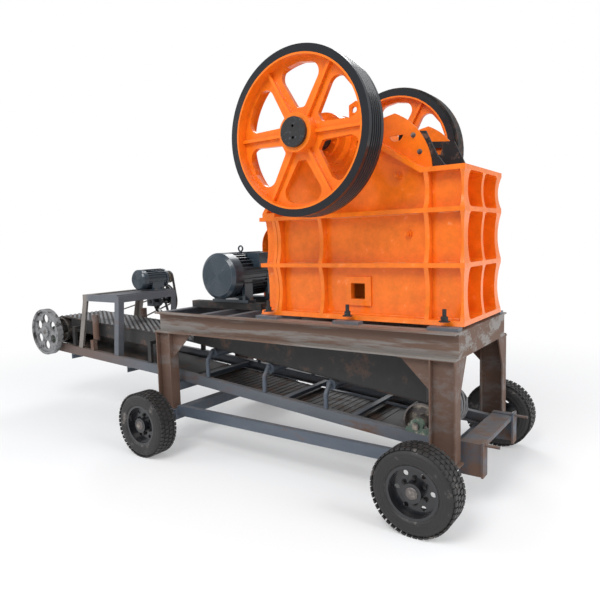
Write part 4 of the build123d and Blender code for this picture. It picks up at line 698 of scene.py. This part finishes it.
class CRUSHER_OT_tyres(bpy.types.Operator):
    """Tyres with ribbed side walls and blocky tread"""
    bl_idname = "crusher.tyres"
    bl_label = "Tyres"

    def execute(self, context):
        depth = sizes().tread_depth
        clearance = 0.0002
        for corner in CORNERS:
            node = "tyre_" + corner
            low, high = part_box(node)
            half = (high[1] - low[1]) / 2
            rim = across("rim_" + corner) / 2
            crown = across(node) / 2 - depth
            side = [(rim + out, -half * share) for out, share in TYRE_WALL]
            side += [(crown - down, -half * share) for down, share in TYRE_SHOULDER]
            profile = side + [(r, -y) for r, y in reversed(side)]
            carcass = mesh_of(node, *lathe(profile, (0, 0, 0), 96))
            mesh = grown("Tyre tread", carcass, Radius=crown + depth * 0.2 - clearance,
                         Width=half * 1.86, Depth=depth, Blocks=sizes().tread_blocks,
                         Material=FINISHES["tyre_rubber"])
            mesh.transform(Matrix.Translation(middle(node)))
            link("tyre_" + corner + "_tread", mesh, "tyre_rubber", "wheel_" + corner, smooth=False,
                 stands_for=[node])
        return {"FINISHED"}


class CRUSHER_OT_wheel_nuts(bpy.types.Operator):
    """Wheel nuts and a cap on each hub"""
    bl_idname = "crusher.wheel_nuts"
    bl_label = "Wheel nuts"

    def execute(self, context):
        nut_circle, nut_recess = 0.072, 0.0448
        profile = ((0.0, -0.002), (0.036, -0.002), (0.036, 0.003), (0.026, 0.0065), (0.0, 0.0075))
        for corner in CORNERS:
            low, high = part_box("rim_" + corner)
            centre = middle("rim_" + corner)
            way = -1 if "near" in corner else 1
            face = low[1] if way < 0 else high[1]
            spots = bolt_circle(centre, nut_circle, face - way * nut_recess, way, 6,
                                sizes().wheel_nut)
            bolts("wheel_nuts_" + corner, spots, "dark_iron", "wheel_" + corner, stud=0.9)
            cap = lathe([(r, way * y) for r, y in profile], (centre.x, face, centre.z), 32)
            link("hub_cap_" + corner, mesh_of("hub_cap", *cap), "bare_steel", "wheel_" + corner)
        return {"FINISHED"}


def loop_points(small, small_radius, large, large_radius, steps=40):
    """Points of an open belt loop round two wheels, in x and z."""
    gap = hypot(large[0] - small[0], large[1] - small[1])
    lean = atan2(large[1] - small[1], large[0] - small[0])
    spread = asin((large_radius - small_radius) / gap)
    points = []
    for centre, radius, first, last in (
            (large, large_radius, lean + pi / 2 + spread, lean - pi / 2 - spread),
            (small, small_radius, lean - pi / 2 - spread, lean + pi / 2 + spread - 2 * pi)):
        for step in range(steps + 1):
            angle = first + (last - first) * step / steps
            points.append((centre[0] + radius * cos(angle), centre[1] + radius * sin(angle),
                           angle))
    return points


class CRUSHER_OT_drive_belts(bpy.types.Operator):
    """Separate V-belts from the motor to the far flywheel"""
    bl_idname = "crusher.drive_belts"
    bl_label = "Drive belts"

    def execute(self, context):
        low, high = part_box("drive_belts")
        big = across("flywheel_far") / 2
        small = across("motor_sheave") / 2
        outer = high[2] - SHAFT.z - big
        foot, shoulder, crown, bevel = 0.0050, 0.0090, 0.0085, 0.003
        section = ((0.0, foot), (outer - bevel, shoulder), (outer, crown), (outer, -crown),
                   (outer - bevel, -shoulder), (0.0, -foot))
        belts, pitch = 5, 0.024
        first = (low[1] + high[1]) / 2 - (belts - 1) / 2 * pitch
        loop = loop_points((MOTOR.x, MOTOR.z), small, (SHAFT.x, SHAFT.z), big)
        verts = [(x + lift * cos(angle), first + side, z + lift * sin(angle))
                 for x, z, angle in loop for lift, side in section]
        one = mesh_of("v_belt", verts, hoops(len(loop), len(section)))
        mesh = grown("Even copies", one, Count=belts, Step=(0, pitch, 0),
                     Material=FINISHES["belt_rubber"])
        link("v_belts", mesh, "belt_rubber", ROOT, smooth=False, stands_for=["drive_belts"])
        return {"FINISHED"}


def tangent(centre, point, radius, way):
    """Angle at which a line from a point touches a drum, on either side of it."""
    gap = hypot(point[0] - centre.x, point[2] - centre.z)
    base = atan2(point[2] - centre.z, point[0] - centre.x)
    return base + way * acos(radius / gap)


def arc(centre, radius, first, last, steps=24):
    """Points round a drum, from one angle to another."""
    angles = [first + (last - first) * step / steps for step in range(steps + 1)]
    return [(centre.x + radius * cos(angle), 0, centre.z + radius * sin(angle))
            for angle in angles]


def at_distance(path, steps, run):
    """The point at a distance along a path of straight steps, and the step's direction."""
    leg = 0
    while run > steps[leg] and leg < len(steps) - 1:
        run -= steps[leg]
        leg += 1
    way = path[leg + 1] - path[leg]
    return path[leg] + way * (run / steps[leg]), way


# Where the belt's runs bend, between the level head and the sloping tail
KINK_FROM_HEAD = 1.675
KINK_UPPER = 0.824
KINK_LOWER = 0.500

RIB_LANES = 14          # rows of short bars that make up the slanted ribs
RIB_SLANT = -0.98
RIB_WIDTH = 0.021
RIB_SPAN = 0.95         # of the belt's width
RETURN_PITCH = 0.050
RETURN_WIDTH = 0.024
RETURN_HEIGHT = 0.006
RETURN_LIFT = 0.0105    # from the belt's outer face to the middle of a bar on its inner face


class CRUSHER_OT_belt_ribs(bpy.types.Operator):
    """Slanted ribs on the conveyor belt, and straight ones on top of its return run"""
    bl_idname = "crusher.belt_ribs"
    bl_label = "Conveyor belt ribs"

    def execute(self, context):
        low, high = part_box("conveyor_belt")
        half = (high[1] - low[1]) / 2
        head_r = HEAD.x - low[0]
        tail_r = high[0] - TAIL.x
        upper = (HEAD.x + KINK_FROM_HEAD, 0, KINK_UPPER)
        lower = (HEAD.x + KINK_FROM_HEAD, 0, KINK_LOWER)
        head_arc = arc(HEAD, head_r, tangent(HEAD, upper, head_r, 1),
                       tangent(HEAD, lower, head_r, -1) + 2 * pi)
        tail_arc = arc(TAIL, tail_r, tangent(TAIL, lower, tail_r, 1) - 2 * pi,
                       tangent(TAIL, upper, tail_r, -1))
        path = [Vector(spot) for spot in head_arc + [lower] + tail_arc + [upper, head_arc[0]]]
        steps = [(after - before).length for before, after in zip(path, path[1:])]
        whole = sum(steps)
        count = round(whole / sizes().cleat_pitch)
        lane = half * 2 * RIB_SPAN / RIB_LANES
        spots, leans = [], []
        for index in range(RIB_LANES):
            y = (index + 0.5) * lane - half * RIB_SPAN
            for rib in range(count):
                run = (rib * whole / count - y * tan(RIB_SLANT)) % whole
                spot, way = at_distance(path, steps, run)
                spots.append((spot.x, y, spot.z))
                leans.append(-atan2(way.z, way.x))
        bar = (RIB_WIDTH, lane / cos(RIB_SLANT) * 1.02, sizes().cleat_height * 2)
        ribs = grown("Belt ribs", marked_points("belt_path", spots, lean=leans),
                     Slant=(0, 0, RIB_SLANT), Bar_Size=bar, Material=FINISHES["belt_rib"])
        link("conveyor_belt_ribs", ribs, "belt_rib", ROOT, smooth=False)

        tail = Vector(tail_arc[0])
        start = tail + (Vector(lower) - tail) * 0.16
        run = Vector(lower) - start
        count = int(run.length * 0.94 / RETURN_PITCH)
        spots = []
        for rib in range(count):
            spot = start + run * (rib * RETURN_PITCH / run.length)
            spots.append((spot.x, 0, spot.z + RETURN_LIFT))
        leans = [-atan2(-run.z, -run.x)] * count
        bars = grown("Belt ribs", marked_points("return_path", spots, lean=leans),
                     Slant=(0, 0, 0), Bar_Size=(RETURN_WIDTH, half * 1.96, RETURN_HEIGHT),
                     Material=FINISHES["belt_rubber"])
        link("return_run_ribs", bars, "belt_rubber", ROOT, smooth=False)
        return {"FINISHED"}


class CRUSHER_OT_motor_dress(bpy.types.Operator):
    """Fan grilles of both motors and the lifting eye of the main one"""
    bl_idname = "crusher.motor_dress"
    bl_label = "Motor details"

    def execute(self, context):
        rings, inner_ring, ring_step = 11, 0.10, 0.082
        for label, axle, radius in (("main", MOTOR, 0.160),
                                    ("conveyor", middle("conveyor_motor_pulley"), 0.084)):
            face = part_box(label + "_motor")[0][1]
            wire = radius * 0.010
            shapes = [ring((axle.x, face - wire * 0.6, axle.z),
                           radius * (inner_ring + ring_step * turn), wire, (0, 1, 0), 48, 6)
                      for turn in range(rings)]
            link(label + "_fan_grille", mesh_of("grille", *joined(*shapes)), "motor_paint", ROOT)
        body_radius = 0.186
        top = Vector((MOTOR.x, middle("main_motor").y, MOTOR.z + body_radius))
        eye = ring((top.x, top.y, top.z + 0.028), 0.022, 0.007, (0, 1, 0))
        collar = ((0.0001, -0.008), (0.014, -0.008), (0.014, 0.004), (0.0001, 0.004))
        verts, faces = lathe(collar, (0, 0, 0), 20)
        stem = ([(top.x + v[0], top.y + v[2], top.z + 0.001 + v[1]) for v in verts], faces)
        link("main_motor_eye", mesh_of("eye", *joined(eye, stem)), "motor_paint", ROOT)
        return {"FINISHED"}


# Where the crusher's bolts sit: base nuts in x and y, the others on both sides at (x, z)
BASE_NUTS_X = (0.752, 1.403, 2.054)
BASE_NUTS_Y = 0.421
FLANGE_HEIGHT = 0.030
FAN_PLATE_BOLTS = ((1.805, 2.235), (1.846, 2.132))
FAN_PLATE_FACE = 0.2745
BOSSES = ((1.776, 1.638), (1.713, 1.996))
BOSS_FACE = 0.3005
HOUSING_LUG = (0.205, 0.328, 2.301)     # x from the shaft, y, z
HOUSING_FACE = 0.4575
HOUSING_CIRCLE = 0.098
UP = (0, 0, 1)


class CRUSHER_OT_fasteners(bpy.types.Operator):
    """Bolts and nuts of the crusher, the motors and the bearings"""
    bl_idname = "crusher.fasteners"
    bl_label = "Fasteners"

    def execute(self, context):
        base_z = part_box("base_shims")[1][2] + FLANGE_HEIGHT
        size = sizes().base_bolt
        bolts("base_bolts", [((x, side * BASE_NUTS_Y, base_z), UP, size) for x in BASE_NUTS_X
                             for side in NEAR_FAR], "dark_iron", stud=1.9)
        frame_size = sizes().frame_bolt
        small = sizes().small_bolt
        foot_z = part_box("main_motor")[0][2] + 0.024
        spots = [((MOTOR.x + x, y, foot_z), UP, frame_size)
                 for x in (-0.195, 0.195) for y in (-0.060, 0.238)]
        foot_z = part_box("conveyor_motor")[0][2] + 0.014
        axle = middle("conveyor_motor_pulley").x
        spots += [((axle + x, y, foot_z), UP, small)
                  for x in (-0.103, 0.103) for y in (0.135, 0.233)]
        for drum, block_top in ((HEAD, 0.691), (TAIL, 0.425)):
            spots += [((drum.x + along, side * 0.3245, block_top), UP, small * 1.3)
                      for side in NEAR_FAR for along in (-0.055, 0.055)]
        bolts("machine_bolts", spots)
        covers, screws = [], []
        lug_x, lug_y, lug_z = HOUSING_LUG
        for side in NEAR_FAR:
            covers += [((x, side * FAN_PLATE_FACE, z), (0, side, 0), 0.020)
                       for x, z in FAN_PLATE_BOLTS]
            covers += [((SHAFT.x + x, side * lug_y, lug_z), UP, 0.040) for x in (-lug_x, lug_x)]
            screws += bolt_circle(SHAFT, HOUSING_CIRCLE, side * HOUSING_FACE, side, 8, small * 1.2)
        bolts("cover_bolts", covers)
        bolts("boss_studs", [((x, side * BOSS_FACE, z), (0, side, 0), 0.030)
                             for side in NEAR_FAR for x, z in BOSSES], "crusher_paint", stud=1.2)
        bolts("housing_screws", screws, "crusher_paint")
        return {"FINISHED"}


WELD_LEVELS = (1.121, 1.431, 1.461, 1.759)      # edges of the level ribs
UPRIGHT_RIBS = (0.148, 0.65, 0.887)             # shares of the side wall's length
WALL_FACE = 0.2915


class CRUSHER_OT_welds(bpy.types.Operator):
    """Weld beads along the crusher's level ribs and where the legs meet the deck beams"""
    bl_idname = "crusher.welds"
    bl_label = "Weld beads"

    def execute(self, context):
        low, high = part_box("side_wall_near")
        length = high[0] - low[0]
        inset, rib_width, shortest, spacing, wave = 0.030, 0.028, 0.06, 0.03, 0.0012
        ribs = [high[0]] + [high[0] - length * share for share in UPRIGHT_RIBS] + [low[0]]
        lines = []
        for side in NEAR_FAR:
            for z in WELD_LEVELS:
                for front, back in zip(ribs, ribs[1:]):
                    x0, x1 = back + inset, front - inset - rib_width
                    if x1 - x0 < shortest:
                        continue
                    count = int((x1 - x0) / spacing)
                    lines.append([(x0 + (x1 - x0) * step / count, side * WALL_FACE,
                                   z + wave * sin(step * 1.9 + z * 40))
                                  for step in range(count + 1)])
        # The crusher's beads get the pale colour as a painted highlight
        beads("crusher_beads", lines, finish="painted_weld")
        lines = []
        for end in ("front", "rear"):
            for side, label in zip(NEAR_FAR, ("near", "far")):
                low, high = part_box("leg_%s_%s" % (end, label))
                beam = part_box("side_beam_" + label)[0][2] - 0.002
                y = low[1] if side < 0 else high[1]
                lines.append([(low[0] + 0.01 + step * 0.02, y + side * -0.004, beam)
                              for step in range(int((high[0] - low[0]) / 0.02))])
        beads("leg_beads", lines)
        return {"FINISHED"}


# Soft lights: name, place, aim, size, power
LIGHTS = (
    ("key_light", (1.5, -6.0, 6.5), (0.2, 0, 1.0), 4.0, 330),
    ("side_light", (7.0, -1.0, 4.0), (1.2, 0, 1.2), 3.5, 190),
    ("fill_light", (-6.0, -4.5, 4.0), (-0.5, 0, 0.8), 4.0, 120),
    ("back_light", (-2.0, 6.0, 6.0), (0, 0, 1.2), 4.0, 170))

# The photo's camera
LENS = 33.72
SENSOR = 36.0
CAMERA_PLACE = (3.23943, -3.55172, 1.61211)
YAW, PITCH, ROLL = 0.6147, 0.1041, -0.0289


class CRUSHER_OT_stage(bpy.types.Operator):
    """Floor, backdrop, soft lights and the camera"""
    bl_idname = "crusher.stage"
    bl_label = "Stage"

    def execute(self, context):
        scene = context.scene
        scene.view_settings.view_transform = "Standard"
        floor_mesh = bpy.data.meshes.new("floor")
        reach = 40.0
        floor_mesh.from_pydata([(-reach, -reach, 0), (reach, -reach, 0), (reach, reach, 0),
                                (-reach, reach, 0)], [], [(0, 1, 2, 3)])
        floor = bpy.data.objects.new("floor", floor_mesh)
        scene.collection.objects.link(floor)
        material = bpy.data.materials.new("Pale floor")
        material.use_nodes = True
        tree = material.node_tree
        shader = tree.nodes["Principled BSDF"]
        shader.inputs["Base Color"].default_value = colour("backdrop")
        shader.inputs["Roughness"].default_value = 0.9
        shader.inputs["Specular IOR Level"].default_value = 0.1
        glow = add(tree, "ShaderNodeEmission", {"Color": (1, 1, 1, 1), "Strength": 1.0})
        length = add(tree, "ShaderNodeVectorMath", {0: place_of(tree)},
                     operation="LENGTH").outputs["Value"]
        far = add(tree, "ShaderNodeMapRange", {0: length, 1: 2.6, 2: 6.0, 3: 0.25, 4: 1.0},
                  interpolation_type="SMOOTHSTEP").outputs[0]
        seen = add(tree, "ShaderNodeLightPath")
        rays = math_of(tree, "MAXIMUM", seen.outputs["Is Camera Ray"],
                       seen.outputs["Is Glossy Ray"])
        mix = add(tree, "ShaderNodeMixShader", {0: math_of(tree, "MULTIPLY", far, rays),
                                                1: shader.outputs[0], 2: glow.outputs[0]})
        tree.links.new(mix.outputs[0], tree.nodes["Material Output"].inputs["Surface"])
        floor_mesh.materials.append(material)

        world = bpy.data.worlds.new("Soft room")
        scene.world = world
        world.use_nodes = True
        tree = world.node_tree
        light = tree.nodes["Background"]
        light.inputs["Color"].default_value = (0.93, 0.96, 1.0, 1)
        light.inputs["Strength"].default_value = 0.55
        white = add(tree, "ShaderNodeBackground", {"Color": (1, 1, 1, 1), "Strength": 1.0})
        seen = add(tree, "ShaderNodeLightPath")
        mix = add(tree, "ShaderNodeMixShader", {0: seen.outputs["Is Camera Ray"],
                                                1: light.outputs[0], 2: white.outputs[0]})
        tree.links.new(mix.outputs[0], tree.nodes["World Output"].inputs["Surface"])

        for name, spot, aim, size, power in LIGHTS:
            lamp = bpy.data.lights.new(name, "AREA")
            lamp.shape = "DISK"
            lamp.size = size
            lamp.energy = power
            holder = bpy.data.objects.new(name, lamp)
            holder.location = spot
            along = Vector(aim) - Vector(spot)
            holder.rotation_euler = along.to_track_quat("-Z", "Y").to_euler()
            scene.collection.objects.link(holder)

        lens = bpy.data.cameras.new("camera")
        lens.lens = LENS
        lens.sensor_width = SENSOR
        camera = bpy.data.objects.new("camera", lens)
        ahead = Vector((-sin(YAW) * cos(PITCH), cos(YAW) * cos(PITCH), -sin(PITCH)))
        right = Vector((cos(YAW), sin(YAW), 0))
        above = right.cross(ahead)
        turned_right = right * cos(ROLL) + above * sin(ROLL)
        turned_up = above * cos(ROLL) - right * sin(ROLL)
        turn = Matrix((turned_right, turned_up, -ahead)).transposed()
        camera.matrix_world = Matrix.Translation(CAMERA_PLACE) @ turn.to_4x4()
        scene.collection.objects.link(camera)
        scene.camera = camera
        return {"FINISHED"}


class CRUSHER_PT_panel(bpy.types.Panel):
    """Lists the crusher's sizes, colours and build steps"""
    bl_label = "Jaw crusher"
    bl_idname = "CRUSHER_PT_panel"
    bl_space_type = "VIEW_3D"
    bl_region_type = "UI"
    bl_category = "Jaw crusher"

    def draw(self, context):
        for group in (context.scene.crusher_sizes, context.scene.crusher_colours):
            for name in group.__annotations__:
                self.layout.prop(group, name)
        for operator in OPERATORS:
            self.layout.operator(operator.bl_idname)


OPERATORS = (CRUSHER_OT_finishes, CRUSHER_OT_tyres, CRUSHER_OT_wheel_nuts, CRUSHER_OT_drive_belts,
             CRUSHER_OT_belt_ribs, CRUSHER_OT_motor_dress, CRUSHER_OT_fasteners, CRUSHER_OT_welds,
             CRUSHER_OT_stage)
CLASSES = (CrusherSizes, CrusherColours) + OPERATORS + (CRUSHER_PT_panel,)


def register():
    for item in CLASSES:
        bpy.utils.register_class(item)
    bpy.types.Scene.crusher_sizes = bpy.props.PointerProperty(type=CrusherSizes)
    bpy.types.Scene.crusher_colours = bpy.props.PointerProperty(type=CrusherColours)


def unregister():
    del bpy.types.Scene.crusher_colours
    del bpy.types.Scene.crusher_sizes
    for item in reversed(CLASSES):
        bpy.utils.unregister_class(item)


def main():
    register()
    for operator in OPERATORS:
        group, name = operator.bl_idname.split(".")
        getattr(getattr(bpy.ops, group), name)()


if __name__ == "__main__":
    main()
